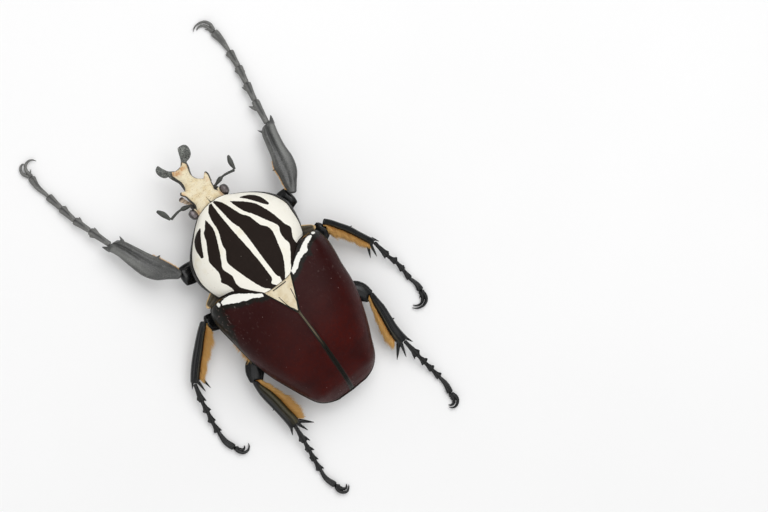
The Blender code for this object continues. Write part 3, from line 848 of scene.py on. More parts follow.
@dataclass(frozen=True)
class ShellFinish(Finish):
    """Plain dark shell, matt and granular or glossy and pitted; values: a groove darkening, which on the
    trunk and the feet is painted shade, and a tint, which on the fore shins is a painted highlight.
    """

    name: str = "shell"
    ground: tuple = paint(30, 31, 33)
    light: tuple = paint(58, 59, 60)
    rust: tuple = paint(96, 62, 34)
    roughness: float = 0.3
    grain_per_mm: float = 3.5
    grain_depth: float = 0.03
    granules: float = 0.7
    gloss: float = 0.5

    def inputs(self, w: Wiring) -> dict[str, Feed]:
        """Dark ground, lighter worn granules, brownish grooves and fine relief; on the fore shins the tint
        coat is a painted highlight, and on the trunk and feet the groove coat is painted shade.

        Args:
            w: Wiring of the material.

        Returns:
            What feeds the shader's inputs, by name.
        """
        place = w.place()
        height, raised = grain(w, place, self.grain_per_mm, self.granules)
        cloud = clouds(w, place, 0.5, 0.35, 0.75)
        mottle = clouds(w, place, self.grain_per_mm * 0.8, 0.36, 0.66)
        dots = w.times(raised, w.plus(mottle, 0.2))
        worn = w.plus(w.times(dots, 0.5), w.times(mottle, 0.55))
        worn = w.times(worn, w.plus(w.times(cloud, 0.6), 0.45))
        # The tint coat is a painted highlight on the fore shins; the groove coat is painted shade on the
        # trunk and the feet.
        colour = w.coated(self.ground, (worn, 1.0, self.light), (w.value("rust"), 1.0, self.rust),
                          (w.value("groove"), 0.75, paint(14, 14, 13)),
                          (specks(w, place, 1.2, 0.1, 0.13), 0.3, paint(150, 146, 138)))
        rough = w.between(cloud, 0.0, 1.0, self.roughness, self.roughness + 0.12)
        return {"Base Color": colour, "Roughness": rough, "Specular IOR Level": self.gloss,
                "Normal": w.relief(height, self.grain_depth)}


@dataclass(frozen=True)
class EyeFinish(Finish):
    """A dark compound eye, fine facets under a clear gloss, with painted shade round its rim and lilac-grey
    patches of painted highlight.
    """

    name: str = "eye_gloss"

    def inputs(self, w: Wiring) -> dict[str, Feed]:
        """Facets, with lilac-grey patches of painted highlight and painted shade round the rim.

        Args:
            w: Wiring of the material.

        Returns:
            What feeds the shader's inputs, by name.
        """
        place = w.place()
        cloud = clouds(w, place, 0.7, 0.42, 0.72)
        facets = w.between(w.cells(place, 9.0, 0.25).outputs["Distance"], 0.15, 0.6, 1.0, 0.0)
        # The lilac-grey patches are a painted highlight; the rim coat is painted shade.
        colour = w.coated(paint(74, 64, 62), (cloud, 0.8, paint(146, 136, 140)),
                          (w.value("collar"), 0.85, paint(26, 24, 21)))
        return {"Base Color": colour, "Roughness": w.between(cloud, 0.0, 1.0, 0.2, 0.34),
                "Coat Weight": 0.5, "Coat Roughness": 0.08, "Normal": w.relief(facets, 0.012)}


@dataclass(frozen=True)
class HairFinish(Finish):
    """Golden hair; values: tip (0 at the root, 1 at the tip), tuft (one number for each tuft)."""

    name: str = "hair_gold"
    root: tuple = paint(166, 108, 40)
    tip: tuple = paint(240, 198, 124)

    def inputs(self, w: Wiring) -> dict[str, Feed]:
        """Darker roots, paler tips and tufts of slightly different tone.

        Args:
            w: Wiring of the material.

        Returns:
            What feeds the shader's inputs, by name.
        """
        tuft = w.value("tuft")
        colour = w.coated(self.root, (w.between(w.value("tip"), 0.0, 0.8), 1.0, self.tip),
                          (tuft, 0.45, paint(204, 144, 66)))
        return {"Base Color": colour, "Roughness": w.between(tuft, 0.0, 1.0, 0.5, 0.62),
                "Specular IOR Level": 0.3}


@dataclass(frozen=True)
class FloorFinish(Finish):
    """Plain pale studio floor."""

    name: str = "studio_floor"

    def inputs(self, w: Wiring) -> dict[str, Feed]:
        """Nearly white, with the faintest unevenness."""
        cloud = clouds(w, w.place(), 0.004, 0.3, 0.7)
        return {"Base Color": w.blend(cloud, (0.9, 0.9, 0.9, 1.0), (0.93, 0.93, 0.93, 1.0)),
                "Roughness": 0.9, "Specular IOR Level": 0.1}


HORN = ShellFinish("horn_granular", paint(40, 42, 40), paint(196, 200, 192), roughness=0.5,
                   grain_per_mm=4.4, grain_depth=0.07, granules=1.2)
FEELER = ShellFinish("feeler_satin", paint(40, 42, 38), paint(84, 87, 78), roughness=0.42,
                     grain_per_mm=6.0, grain_depth=0.02)
# The fore shins' third colour, a pale grey, is a painted highlight.
DIGGER = ShellFinish("fore_leg_grey", paint(30, 31, 31), paint(122, 123, 119), paint(140, 141, 137),
                     roughness=0.36, grain_per_mm=5.4, granules=0.5, gloss=0.8)
DIGGER_FOOT = ShellFinish("fore_foot_grey", paint(76, 76, 74), paint(150, 150, 146), roughness=0.36,
                          grain_per_mm=6.0, grain_depth=0.01, granules=0.1, gloss=0.6)
WALKER = ShellFinish("leg_glossy_black", paint(11, 12, 13), paint(27, 28, 29), paint(92, 84, 50),
                     roughness=0.2, grain_per_mm=4.0, grain_depth=0.008, granules=0.3, gloss=0.36)
BREAST = ShellFinish("underside_dark", paint(30, 29, 24), paint(52, 48, 38), paint(92, 62, 34),
                     grain_per_mm=1.6)
FLANK = ShellFinish("flank_olive", paint(56, 52, 42), paint(112, 98, 76), paint(206, 176, 128),
                    roughness=0.4, grain_per_mm=4.0, grain_depth=0.02, granules=0.2, gloss=0.25)
MOUTH = ShellFinish("mouth_brown", paint(92, 60, 34), paint(170, 128, 80), paint(196, 142, 82),
                    roughness=0.4)
PALP = ShellFinish("palp_pale", paint(232, 204, 174), paint(244, 226, 202), paint(66, 50, 40),
                   roughness=0.4, grain_per_mm=5.0, grain_depth=0.01, granules=0.1)
HAIR = HairFinish()
PALE_HAIR = HairFinish("hair_pale", paint(120, 84, 40), paint(206, 164, 96))


def show(mesh: bpy.types.Mesh, finish: Finish, slot: str, *nodes: str) -> None:
    """Shows a mesh as one piece of the beetle, under the mesh's own name.

    Args:
        mesh: The piece's mesh.
        finish: Its finish.
        slot: The record's material slot; not used.
        *nodes: The frame's solids that it stands for.
    """
    mesh.materials.append(finish.material())
    piece = bpy.data.objects.new(mesh.name, mesh)
    bpy.context.scene.collection.objects.link(piece)
    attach(piece, "root")
    if nodes:
        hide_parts(*nodes)
    LOG.info("%s: %d points", mesh.name, len(mesh.vertices))


def add_piece(name: str, shape: Shape, finish: Finish, slot: str, *nodes: str) -> None:
    """Makes one piece of the beetle from its shape; the rest is as for show."""
    show(shape.mesh(name), finish, slot, *nodes)


# --- The shell of the back ---


@dataclass(frozen=True)
class Dome:
    """An arched shell: half width, crest height and margin height against place along Y."""

    half: Knots
    crest: Knots
    margin: Knots
    power: float
    right_half: Knots = ()

    def reach(self, side: Array, place: Array) -> Array:
        """Half width on the left, where side is positive, or on the right."""
        left = spline(self.half, place)
        return np.where(side > 0, left, spline(self.right_half, place)) if self.right_half else left

    def height(self, across: Array, place: Array) -> Array:
        """Height of the shell at a share across its half width.

        Args:
            across: Share of the half width, either way.
            place: Place along Y.

        Returns:
            The height.
        """
        low = spline(self.margin, place)
        high = np.maximum(spline(self.crest, place), low + 0.3)
        arch = (1.0 - np.minimum(np.abs(across), 1.0) ** self.power) ** (1.0 / self.power)
        return low + (high - low) * arch

    def over(self, x: Array, y: Array) -> Array:
        """Height of the shell over a place in plan."""
        return self.height(np.abs(x) / np.maximum(self.reach(x, y), 0.1), y)


SHIELD = Dome(
    half=((-41.0, 6.8), (-39.0, 9.3), (-37.0, 11.5), (-35.0, 13.6), (-32.5, 15.8), (-30.0, 17.3),
          (-27.0, 18.1), (-24.5, 18.2), (-21.0, 17.4), (-18.6, 16.5), (-17.4, 15.9)),
    right_half=((-41.0, 6.0), (-39.0, 9.7), (-36.2, 13.7), (-33.1, 16.7), (-30.5, 18.2),
                (-28.5, 18.8), (-25.0, 18.6), (-21.7, 17.9), (-18.6, 16.8), (-17.4, 15.9)),
    crest=((-42.6, 16.2), (-39.0, 18.3), (-34.0, 20.7), (-28.0, 22.5), (-20.0, 23.3), (-9.9, 22.7)),
    margin=((-42.6, 12.6), (-36.0, 12.0), (-28.0, 11.8), (-17.0, 13.0)), power=2.2)
WINGS = Dome(
    half=((-16.9, 19.4), (-16.3, 20.2), (-15.0, 20.9), (-12.5, 21.4), (-9.4, 21.3), (-4.0, 20.7),
          (2.3, 20.0), (6.0, 19.2), (10.0, 18.1), (15.0, 16.2), (21.0, 13.6), (24.6, 11.8),
          (26.8, 10.1), (28.3, 7.9), (29.1, 5.9), (29.4, 4.6)),
    right_half=((-16.9, 19.4), (-16.3, 20.3), (-15.0, 20.9), (-12.5, 21.3), (-8.5, 21.2), (-4.0, 20.6),
                (2.3, 20.2), (6.0, 19.4), (10.0, 18.3), (15.0, 16.5), (21.0, 13.9), (24.6, 12.2),
                (26.8, 10.4), (28.3, 8.2), (29.1, 6.1), (29.4, 4.8)),
    crest=((-18.0, 22.0), (-10.0, 23.0), (-3.0, 23.8), (5.0, 24.0), (12.0, 23.0), (20.0, 19.6),
           (25.0, 15.9), (27.5, 12.6), (28.8, 10.2), (29.6, 8.8), (30.4, 8.3)),
    margin=((-18.0, 13.6), (-8.0, 11.6), (5.0, 10.4), (15.0, 9.6), (25.0, 8.6), (30.1, 8.2)),
    power=2.5)


# Where the shield's rear edge runs, as (distance from the middle, y) knots.
REAR = ((0.0, -10.15), (2.5, -10.2), (4.2, -10.42), (5.1, -10.75), (6.2, -11.75), (8.5, -13.7),
        (11.2, -16.0), (12.9, -16.75), (14.6, -17.1), (16.0, -17.5))


def edge_distances(sheet: Array) -> tuple[Array, Array, Array, Array]:
    """Distances over a sheet from its first and last column and its first and last row.

    Args:
        sheet: The points, rows by columns.

    Returns:
        The four distances, in that order.
    """
    across = np.linalg.norm(np.diff(sheet, axis=1), axis=2)
    down = np.linalg.norm(np.diff(sheet, axis=0), axis=2)
    from_left = np.pad(np.cumsum(across, 1), ((0, 0), (1, 0)))
    from_top = np.pad(np.cumsum(down, 0), ((1, 0), (0, 0)))
    return from_left, from_left[:, -1:] - from_left, from_top, from_top[-1:] - from_top


def band(x: Array, y: Array, inner: Knots, outer: Knots, front: float) -> Array:
    """Distance inside a band that runs back from a front end between two edges.

    Args:
        x: Places across, positive on the band's own side.
        y: Places along.
        inner: Its inner edge, as (y, x) knots.
        outer: Its outer edge.
        front: Where it starts.

    Returns:
        The distance, positive inside.
    """
    inside = []
    for edge, sign in ((inner, 1.0), (outer, -1.0)):
        here = spline(edge, y)
        slant = (spline(edge, y + 0.2) - spline(edge, y - 0.2)) / 0.4
        inside.append(sign * (x - here) / np.sqrt(1 + slant ** 2))
    return np.minimum(np.minimum(inside[0], inside[1]), y - front)


def leaf(x: Array, y: Array, spine: Sequence[Sequence[float]], half: Knots) -> Array:
    """Distance inside a leaf-shaped spot with a bent spine and a half width along it.

    Args:
        x: Places across, positive on the spot's own side.
        y: Places along.
        spine: The spot's middle line, as (x, y).
        half: Its half width, as (share, size) knots.

    Returns:
        The distance, positive inside.
    """
    best = np.full(x.shape, -1e3)
    for share in np.linspace(0.0, 1.0, 30):
        at = along(flat(spine), share)
        best = np.maximum(best, spline(half, share) - np.hypot(x - at[0], y - at[1]))
    return best


@dataclass(frozen=True)
class ShieldBands:
    """One side's black bands on the shield, as (y, x) knots with x from the middle outwards."""

    stripe: Knots
    inner_outer: Knots
    outer_inner: Knots
    outer_outer: Knots
    outer_front: float
    spot: Sequence[Sequence[float]]
    spot_half: Knots


RIGHT_BANDS = ShieldBands(
    stripe=((-42.6, -0.2), (-38.0, 0.1), (-34.0, 0.4), (-30.4, 1.3), (-20.0, 1.2), (-14.0, 1.25),
            (-12.5, 1.45), (-11.7, 1.85), (-10.2, 1.5)),
    inner_outer=((-42.3, 0.4), (-41.2, 1.4), (-40.0, 2.1), (-36.0, 3.5), (-34.0, 4.2), (-32.0, 5.65),
                 (-28.0, 6.75), (-26.0, 8.2), (-24.0, 8.5), (-20.0, 7.5), (-16.0, 6.3),
                 (-12.0, 4.0), (-10.2, 2.6)),
    outer_inner=((-39.2, 4.0), (-37.0, 4.5), (-34.0, 5.6), (-32.0, 7.0), (-28.0, 9.15),
                 (-24.4, 11.0), (-22.5, 10.2), (-20.0, 10.05), (-18.2, 10.4), (-16.0, 9.15),
                 (-12.0, 6.3), (-10.0, 5.0)),
    outer_outer=((-39.2, 4.2), (-38.0, 5.7), (-36.4, 7.6), (-34.0, 9.75), (-31.0, 11.1),
                 (-28.0, 12.1), (-24.0, 13.0), (-21.8, 13.85), (-19.0, 12.5), (-17.2, 12.4),
                 (-15.5, 13.5)),
    outer_front=-39.2,
    spot=((7.4, -38.3), (9.4, -36.9), (10.9, -35.3), (11.9, -33.7), (12.75, -31.9)),
    spot_half=((0.0, 0.2), (0.25, 0.75), (0.5, 0.98), (0.75, 0.9), (1.0, 0.42)))
LEFT_BANDS = ShieldBands(
    stripe=((-42.6, 0.75), (-38.0, 1.05), (-30.0, 0.9), (-26.0, 0.6), (-20.0, 0.3), (-14.0, 0.25),
            (-12.5, 0.5), (-11.8, 1.3), (-10.2, 0.3)),
    inner_outer=((-42.3, 1.6), (-41.2, 2.6), (-40.0, 3.4), (-38.0, 3.95), (-34.0, 4.5), (-30.0, 6.1),
                 (-28.0, 6.4), (-25.0, 8.05), (-23.0, 7.9), (-16.0, 5.75), (-12.0, 3.95),
                 (-10.2, 2.1)),
    outer_inner=((-39.0, 5.3), (-36.0, 5.15), (-34.0, 5.65), (-30.0, 7.4), (-26.0, 9.4),
                 (-24.2, 10.3), (-22.0, 9.85), (-20.5, 9.4), (-18.0, 9.85), (-16.0, 9.25),
                 (-12.0, 5.9), (-10.0, 4.0)),
    outer_outer=((-39.0, 5.5), (-37.2, 7.1), (-36.0, 8.35), (-34.0, 9.1), (-30.0, 11.35),
                 (-28.0, 12.25), (-24.0, 12.0), (-22.0, 12.6), (-21.0, 13.05), (-19.0, 12.05),
                 (-16.5, 11.65), (-15.0, 12.8)),
    outer_front=-39.1,
    spot=((8.3, -37.9), (10.0, -36.6), (11.35, -34.9), (12.3, -33.0), (12.95, -30.8)),
    spot_half=((0.0, 0.25), (0.25, 0.75), (0.5, 0.98), (0.75, 0.9), (1.0, 0.5)))


@dataclass
class Shield:
    """The pronotum: a domed striped shield with a rolled rim over the first body ring."""

    dome: Dome = SHIELD
    wall: float = 0.9
    apex: float = 1.6
    rows: int = 190
    columns: int = 250
    rim: Knots = ((-42.6, 0.3), (-38.0, 0.36), (-35.0, 0.55), (-31.0, 0.8), (-26.0, 0.75), (-22.0, 0.42),
                  (-19.0, 0.26), (-17.0, 0.2))
    rim_height: float = 0.42
    band_front: float = -42.25

    def sheet(self) -> tuple[Array, Array]:
        """The outer face without its bead, from the beetle's right to its left, and the rim's share.

        Returns:
            The points, rows by columns, and how far each is up the rim.
        """
        t, i = np.meshgrid(np.linspace(0, 1, self.rows), np.linspace(-0.5, 0.5, self.columns),
                           indexing="ij")
        across = np.sin(i * math.pi)
        first, last = self.dome.half[0][0], self.dome.half[-1][0]
        front = first - self.apex * (1 - across ** 2)
        end = spline(REAR, np.abs(across) * self.dome.half[-1][1])
        y = front + t * (end - front)
        width = self.dome.reach(across, first + t * (last - first))
        shelf = spline(self.rim, y) / width
        share = np.clip((np.abs(across) - 1 + shelf) / shelf, 0, 1)
        bulge = np.abs(across) / (1 - shelf)
        z = self.dome.height(np.where(share > 0, 1.0, bulge), y)
        return np.stack([across * width, y, z], -1), share

    def white(self, sheet: Array, margin: Array) -> Array:
        """Distance inside the white, negative in the black bands and at the margin.

        Args:
            sheet: The outer face.
            margin: Distance inside the dark margin, whose thin front strip is a painted shadow of the head's
                edge.

        Returns:
            The distance, positive in the white.
        """
        x, y = sheet[..., 0], sheet[..., 1]
        black = -margin
        for side, bands in ((Side.RIGHT, RIGHT_BANDS), (Side.LEFT, LEFT_BANDS)):
            out = x * side.value
            black = np.maximum(black, band(out, y, bands.stripe, bands.inner_outer, self.band_front))
            black = np.maximum(black, band(out, y, bands.outer_inner, bands.outer_outer,
                                           bands.outer_front))
            black = np.maximum(black, leaf(out, y, bands.spot, bands.spot_half))
        return -black

    def build(self) -> None:
        """Makes the shield with its rolled rim and its bands."""
        sheet, share = self.sheet()
        right, left, front, back = edge_distances(sheet)
        side = np.minimum(right, left)
        x, y = np.abs(sheet[..., 0]), sheet[..., 1]
        inner = spline(self.rim, y) + 0.4 * self.rim_height
        margin = np.minimum(side - inner - 0.12, back - (0.18 + 0.4 * smooth(8.0, 12.5, x)))
        # The thin dark strip along the front edge is a painted shadow of the head's edge.
        margin = np.minimum(margin, front - 0.14)
        normal = normals_of(sheet)
        roll = hump(0.3, 0.24, back) * smooth(0.0, 2.5, side)
        furrow = hump(0.8, 0.3, back) * smooth(0.0, 2.5, side)
        middle = -0.12 * hump(0.0, 0.8, sheet[..., 0]) * smooth(-13.0, -30.0, y)
        lift = 0.16 * roll - 0.08 * furrow + middle
        lift = lift + 0.05 * ripple(sheet.reshape(-1, 3), 5.0, 3).reshape(lift.shape) * (share == 0)
        raised = sheet + normal * lift[..., None]
        raised[..., 2] += self.rim_height * np.clip(np.sin(math.pi * share), 0, 1) ** 0.8
        bead = np.maximum(smooth(0.0, 0.2, share), 0.6 * hump(0.1, 0.14, back))
        upright = unit(normal * (1 - smooth(0.0, 0.3, share))[..., None] + np.array((0.0, 0.0, 0.6)))
        values = {"white": self.white(sheet, margin), "bead": bead}
        add_piece("pronotum_shield", walled(raised, self.wall, values, normal=upright), ShieldFinish(),
                  "pronotum_striped", "pronotum")


@dataclass(frozen=True)
class FrontMark:
    """The white mark on one wing case's front, as (x, y) knots with x from the middle outwards."""

    front: Knots
    rear: Knots
    ends: tuple[float, float]
    dot: tuple[float, float, float, float]


LEFT_MARK = FrontMark(
    front=((5.0, -10.6), (8.2, -13.05), (11.2, -15.3), (13.2, -16.3), (14.8, -16.6), (16.9, -16.2)),
    rear=((5.0, -9.6), (6.6, -10.4), (8.5, -11.6), (9.9, -11.9), (11.9, -12.8), (13.4, -13.4),
          (15.0, -14.4), (16.9, -15.3)),
    ends=(5.5, 16.8), dot=(17.7, -16.1, 0.5, 0.72))
RIGHT_MARK = FrontMark(
    front=((5.0, -10.7), (8.8, -13.3), (12.6, -15.1), (14.4, -16.0), (16.0, -16.5), (17.4, -16.2)),
    rear=((5.0, -9.6), (7.6, -10.6), (10.1, -12.3), (12.1, -12.9), (13.4, -13.1), (14.4, -14.4),
          (16.1, -15.2), (17.4, -15.7)),
    ends=(5.6, 17.3), dot=(18.4, -16.3, 0.66, 0.48))


@dataclass
class WingCase:
    """One elytron: a long arched shell with a shoulder, a raised seam band and white front marks.

    A swelling or scuff is how much it is, its place and width across, and its place and width
    along. seam_share is where, down the sheet, its inner edge turns from the scutellum to the seam.
    """

    side: Side
    mark: FrontMark
    dome: Dome = WINGS
    wall: float = 1.0
    seam_gap: float = 0.05
    corner: tuple[float, float] = (5.1, -10.5)
    seam_start: float = 0.4
    seam_length: float = 29.2
    seam_share: float = 0.22
    underlap: float = -0.14
    rows: int = 230
    columns: int = 120
    band_half: float = 0.75
    swellings: tuple = ((0.8, 17.0, 2.4, -12.6, 3.0), (0.55, 8.2, 2.2, 24.4, 2.2),
                        (-0.3, 11.0, 4.0, -8.0, 5.0))
    scuffs: tuple = ((0.6, 13.0, 5.0, -7.0, 5.0), (0.9, 17.5, 2.5, -1.0, 6.0))
    seam_dark: Knots = ((-10.0, 0.4), (0.0, 0.35), (8.0, 0.55), (18.0, 0.75), (30.0, 0.75))
    shoulder_dark: Knots = ((-17.5, 9.0), (-12.0, 9.0), (-8.0, 8.2), (-4.0, 5.8), (0.0, 3.2),
                            (10.0, 1.3), (30.0, 0.9))

    def sheet(self) -> Array:
        """The outer face, front row first, from the seam outwards.

        Returns:
            The points, rows by columns.
        """
        t, v = np.meshgrid(np.linspace(0, 1, self.rows), np.linspace(0, 1, self.columns), indexing="ij")
        s = np.clip(t / self.seam_share, 0, 1)
        later = np.clip((t - self.seam_share) / (1 - self.seam_share), 0, 1)
        inner_x = self.seam_gap + (self.corner[0] - self.seam_gap) * (1 - s)
        inner_y = self.seam_start + (self.corner[1] - self.seam_start) * (1 - s) + self.seam_length * later
        first, last = self.dome.half[0][0], self.dome.half[-1][0]
        outer_y = first + (last - first) * np.sin(t * math.pi / 2) ** 1.15
        outer_x = self.dome.reach(self.side.value, outer_y)
        share = np.sin(v * math.pi / 2)
        x = inner_x + (outer_x - inner_x) * share
        straight = self.corner[1] + (first - self.corner[1]) * share[0]
        edge = spline(((*REAR[:-2], (14.3, -16.95), (16.5, -16.95), (18.8, first + self.underlap))),
                      x[0]) - self.underlap
        edge[0] = self.corner[1]
        y = inner_y + (outer_y - inner_y) * share - (straight - edge) * np.clip(1 - t * 11 / 3, 0, 1)
        return np.stack([self.side.value * x, y, self.dome.over(self.side.value * x, y)], -1)

    def white(self, x: Array, y: Array) -> Array:
        """Distance inside the white marks along the front edge.

        Args:
            x: Places from the middle outwards.
            y: Places along.

        Returns:
            The distance, positive in the white.
        """
        mark = self.mark
        inside = []
        for edge, sign in ((mark.front, 1.0), (mark.rear, -1.0)):
            slant = (spline(edge, x + 0.3) - spline(edge, x - 0.3)) / 0.6
            inside.append(sign * (y - spline(edge, x)) / np.sqrt(1 + slant ** 2))
        inside += [x - mark.ends[0], mark.ends[1] - x]
        cx, cy, rx, ry = mark.dot
        spot = (1 - np.hypot((x - cx) / rx, (y - cy) / ry)) * ry
        return np.maximum(np.minimum.reduce(inside), spot)

    def build(self) -> None:
        """Makes the wing case with its relief, marks, dark edges and scuffs."""
        sheet = self.sheet()
        seam, margin, front, back = edge_distances(sheet)
        x, y = np.abs(sheet[..., 0]), sheet[..., 1]
        normal = normals_of(sheet)
        beyond = smooth(3.0, 9.0, y) * smooth(0.3, 2.6, back)
        rim = np.minimum(margin, back)
        banded = smooth(self.band_half + 0.35, self.band_half - 0.25, seam)
        lift = 0.22 * banded * beyond - 0.12 * hump(self.band_half + 0.6, 0.45, seam) * beyond
        lift += 0.14 * hump(0.3, 0.25, seam) * smooth(9.0, 3.0, y)
        for height, place_x, wide_x, place_y, wide_y in self.swellings:
            lift += height * hump(place_x, wide_x, x) * hump(place_y, wide_y, y)
        lift += 0.2 * hump(0.3, 0.26, rim) - 0.1 * hump(0.9, 0.4, rim)
        lift += 0.07 * ripple(sheet.reshape(-1, 3), 7.0, 11 + self.side.value).reshape(lift.shape)
        raised = sheet + normal * lift[..., None]
        wide = spline(self.shoulder_dark, y)
        if self.side is Side.RIGHT:
            wide = np.minimum(wide, 1.2 + 0.3 * wide)
        marked = self.white(x, y)
        dark = np.maximum.reduce([
            smooth(1.35, 0.6, margin / wide), smooth(1.3, 0.75, seam / spline(self.seam_dark, y)),
            smooth(2.6, 1.2, front) * smooth(13.0, 19.0, x), 0.9 * smooth(-2.4, -0.7, marked),
            smooth(1.2, 0.3, back)])
        pale = 0.8 * hump(0.0, 0.11, seam) * smooth(-0.5, 0.5, y) * (1 - smooth(7.0, 14.0, y))
        pale = np.maximum(pale, 0.5 * hump(0.12, 0.14, margin) * smooth(-15.0, -10.0, y))
        scuff = 4.0 * smooth(5.0, 1.5, 30.3 - y) * smooth(7.0, 0.5, x) + 0.14
        scuff += 3.0 * smooth(0.2, 0.7, dark) * smooth(2.0, -6.0, y) * smooth(10.0, 15.0, x)
        for much, place_x, wide_x, place_y, wide_y in self.scuffs:
            scuff += much * hump(place_x, wide_x, x) * hump(place_y, wide_y, y)
        values = {"white": marked, "dark": dark, "pale": pale, "scuff": np.clip(scuff, 0, 4)}
        shell = walled(raised, self.wall, values, normal=unit(normal + np.array((0.0, 0.0, 0.25))))
        shell.points[:, 0] = self.side.value * np.maximum(self.side.value * shell.points[:, 0], 0.03)
        add_piece("wing_case_" + self.side.word, shell, WingCaseFinish(), "elytra_maroon",
                  "elytron_" + self.side.word)


@dataclass
class Scutellum:
    """The triangular plate between the wing cases' front ends."""

    half: float = 4.9
    underlap: float = -0.1
    wall: float = 1.0
    slot_y: float = -9.6
    slot_half: float = 2.25
    lines: Knots = ((-7.4, 2.25), (-6.6, 2.15), (-3.0, 1.42), (-1.2, 0.5), (-0.3, 0.2))

    def build(self) -> None:
        """Makes the plate with its raised middle, its front slit, painted dark as shade in the gap, and its
        dark side grooves.
        """
        s, v = np.meshgrid(np.linspace(0, 1, 100), np.linspace(-1, 1, 80), indexing="ij")
        x = v * (self.half + (0.3 - self.half) * s)
        front = spline(REAR, np.abs(v) * self.half) - self.underlap
        y = front + (-0.35 - front) * s
        side = np.abs(x)
        beside = np.abs(side - spline(self.lines, y))
        groove = hump(0.0, 0.14, beside) * smooth(-7.4, -6.6, y)
        slit = np.hypot(y - self.slot_y, np.maximum(side - self.slot_half, 0))
        edge = (1 - np.abs(v)) * (self.half * (1 - s) + 0.3)
        lift = 0.2 * (1 - v ** 2) - 0.16 * groove - 0.25 * hump(0.0, 0.16, slit)
        wings = hump(0.0, 0.5, side - 0.62 * (-1.6 - y)) * smooth(-6.0, -9.0, y)
        z = WINGS.over(x, y) + lift - 0.14 * wings
        dark = np.where(y > -7.1, 0.12 - beside, -0.4)
        # The front slit is painted dark: painted shade in the gap at the shield's rear edge.
        dark = np.maximum(dark, 0.17 - slit)
        dark = np.maximum(dark, 0.1 - edge + 0.25 * smooth(-4.0, 0.0, y))
        stain = 0.55 * hump(0.0, 0.45, slit + 0.1) + 0.45 * wings + 0.3 * smooth(-8.0, -11.0, y) * (side > 3)
        values = {"dark": dark, "stain": np.clip(stain, 0, 1)}
        plate = walled(np.stack([x, y, z], -1), self.wall, values)
        plate.values["dark"] = np.maximum(plate.values["dark"], plate.values["inside"] * 2 - 0.6)
        finish = CreamFinish("cream_plate", paint(224, 212, 184), paint(206, 188, 150), paint(168, 132, 84),
                             speckle=0.2)
        add_piece("scutellum_plate", plate, finish, "scutellum_cream", "scutellum")


# --- The head ---


@dataclass(frozen=True)
class HeadFrame:
    """The turned head's own axes: lateral to the beetle's left, forward, and height."""

    pivot: tuple[float, float] = (0.6, -41.0)
    yaw: float = math.radians(6.0)

    def place(self, lateral: Array | float, forward: Array | float, height: Array | float) -> Array:
        """A place given in the head's axes, in the beetle's.

        Args:
            lateral: Towards the beetle's left.
            forward: Ahead.
            height: Up.

        Returns:
            The place.
        """
        c, s = math.cos(self.yaw), math.sin(self.yaw)
        lateral, forward, height = np.broadcast_arrays(lateral, forward, height)
        return np.stack([self.pivot[0] + lateral * c + forward * s,
                         self.pivot[1] + lateral * s - forward * c, height + 0.0], -1)

    def heading(self, lateral: float, forward: float) -> Array:
        """A level direction given in the head's axes, in the beetle's."""
        return self.place(lateral, forward, 0.0) - self.place(0.0, 0.0, 0.0)

    def read(self, points: Array) -> tuple[Array, Array, Array]:
        """Lateral, forward and height of places given in the beetle's axes.

        Args:
            points: Places in the beetle's axes.

        Returns:
            The three coordinates in the head's axes.
        """
        c, s = math.cos(self.yaw), math.sin(self.yaw)
        dx, dy = points[..., 0] - self.pivot[0], points[..., 1] - self.pivot[1]
        return dx * c + dy * s, dx * s - dy * c, points[..., 2]


HEAD = HeadFrame()


@dataclass(frozen=True)
class Edges:
    """One side of the head: how far it reaches sideways, against place forward."""

    plate: Knots
    stem_top: Knots
    stem_low: Knots
    lobe: Pairs
    lobe_dark: Knots
    prong: Pairs


LEFT_EDGES = Edges(
    plate=((-1.0, 4.4), (0.1, 5.0), (1.0, 5.05), (2.4, 4.7), (3.6, 4.2), (4.3, 3.98), (5.8, 4.15),
           (7.4, 4.15), (8.2, 3.9), (9.0, 3.4), (9.7, 2.85), (10.4, 2.2), (11.2, 1.8), (12.6, 1.65)),
    stem_top=((9.0, 2.3), (11.1, 1.8), (12.4, 1.62), (13.7, 2.02), (15.0, 2.35), (16.2, 2.6)),
    stem_low=((9.0, 3.2), (10.8, 2.95), (12.2, 2.85), (13.4, 3.2), (14.4, 3.55), (15.6, 3.9)),
    lobe=(((1.4, 6.6), (4.2, 6.8)), ((2.4, 8.4), (4.45, 8.1)), ((3.2, 9.3), (4.95, 8.8)),
          ((4.0, 9.75), (5.12, 9.3)), ((4.55, 10.05), (4.98, 9.8))),
    lobe_dark=((4.5, 4.3), (6.8, 4.2), (8.1, 4.45), (8.8, 4.9), (9.3, 5.1), (9.9, 4.9)),
    prong=(((0.2, 15.0), (2.3, 14.2)), ((1.35, 16.15), (2.7, 15.35)), ((2.3, 16.95), (3.1, 15.95)),
           ((2.9, 17.65), (4.3, 16.12)), ((3.35, 18.6), (5.25, 16.75)), ((3.68, 19.4), (5.85, 18.2)),
           ((3.88, 20.15), (5.82, 19.4)), ((4.02, 20.75), (5.4, 20.3))))
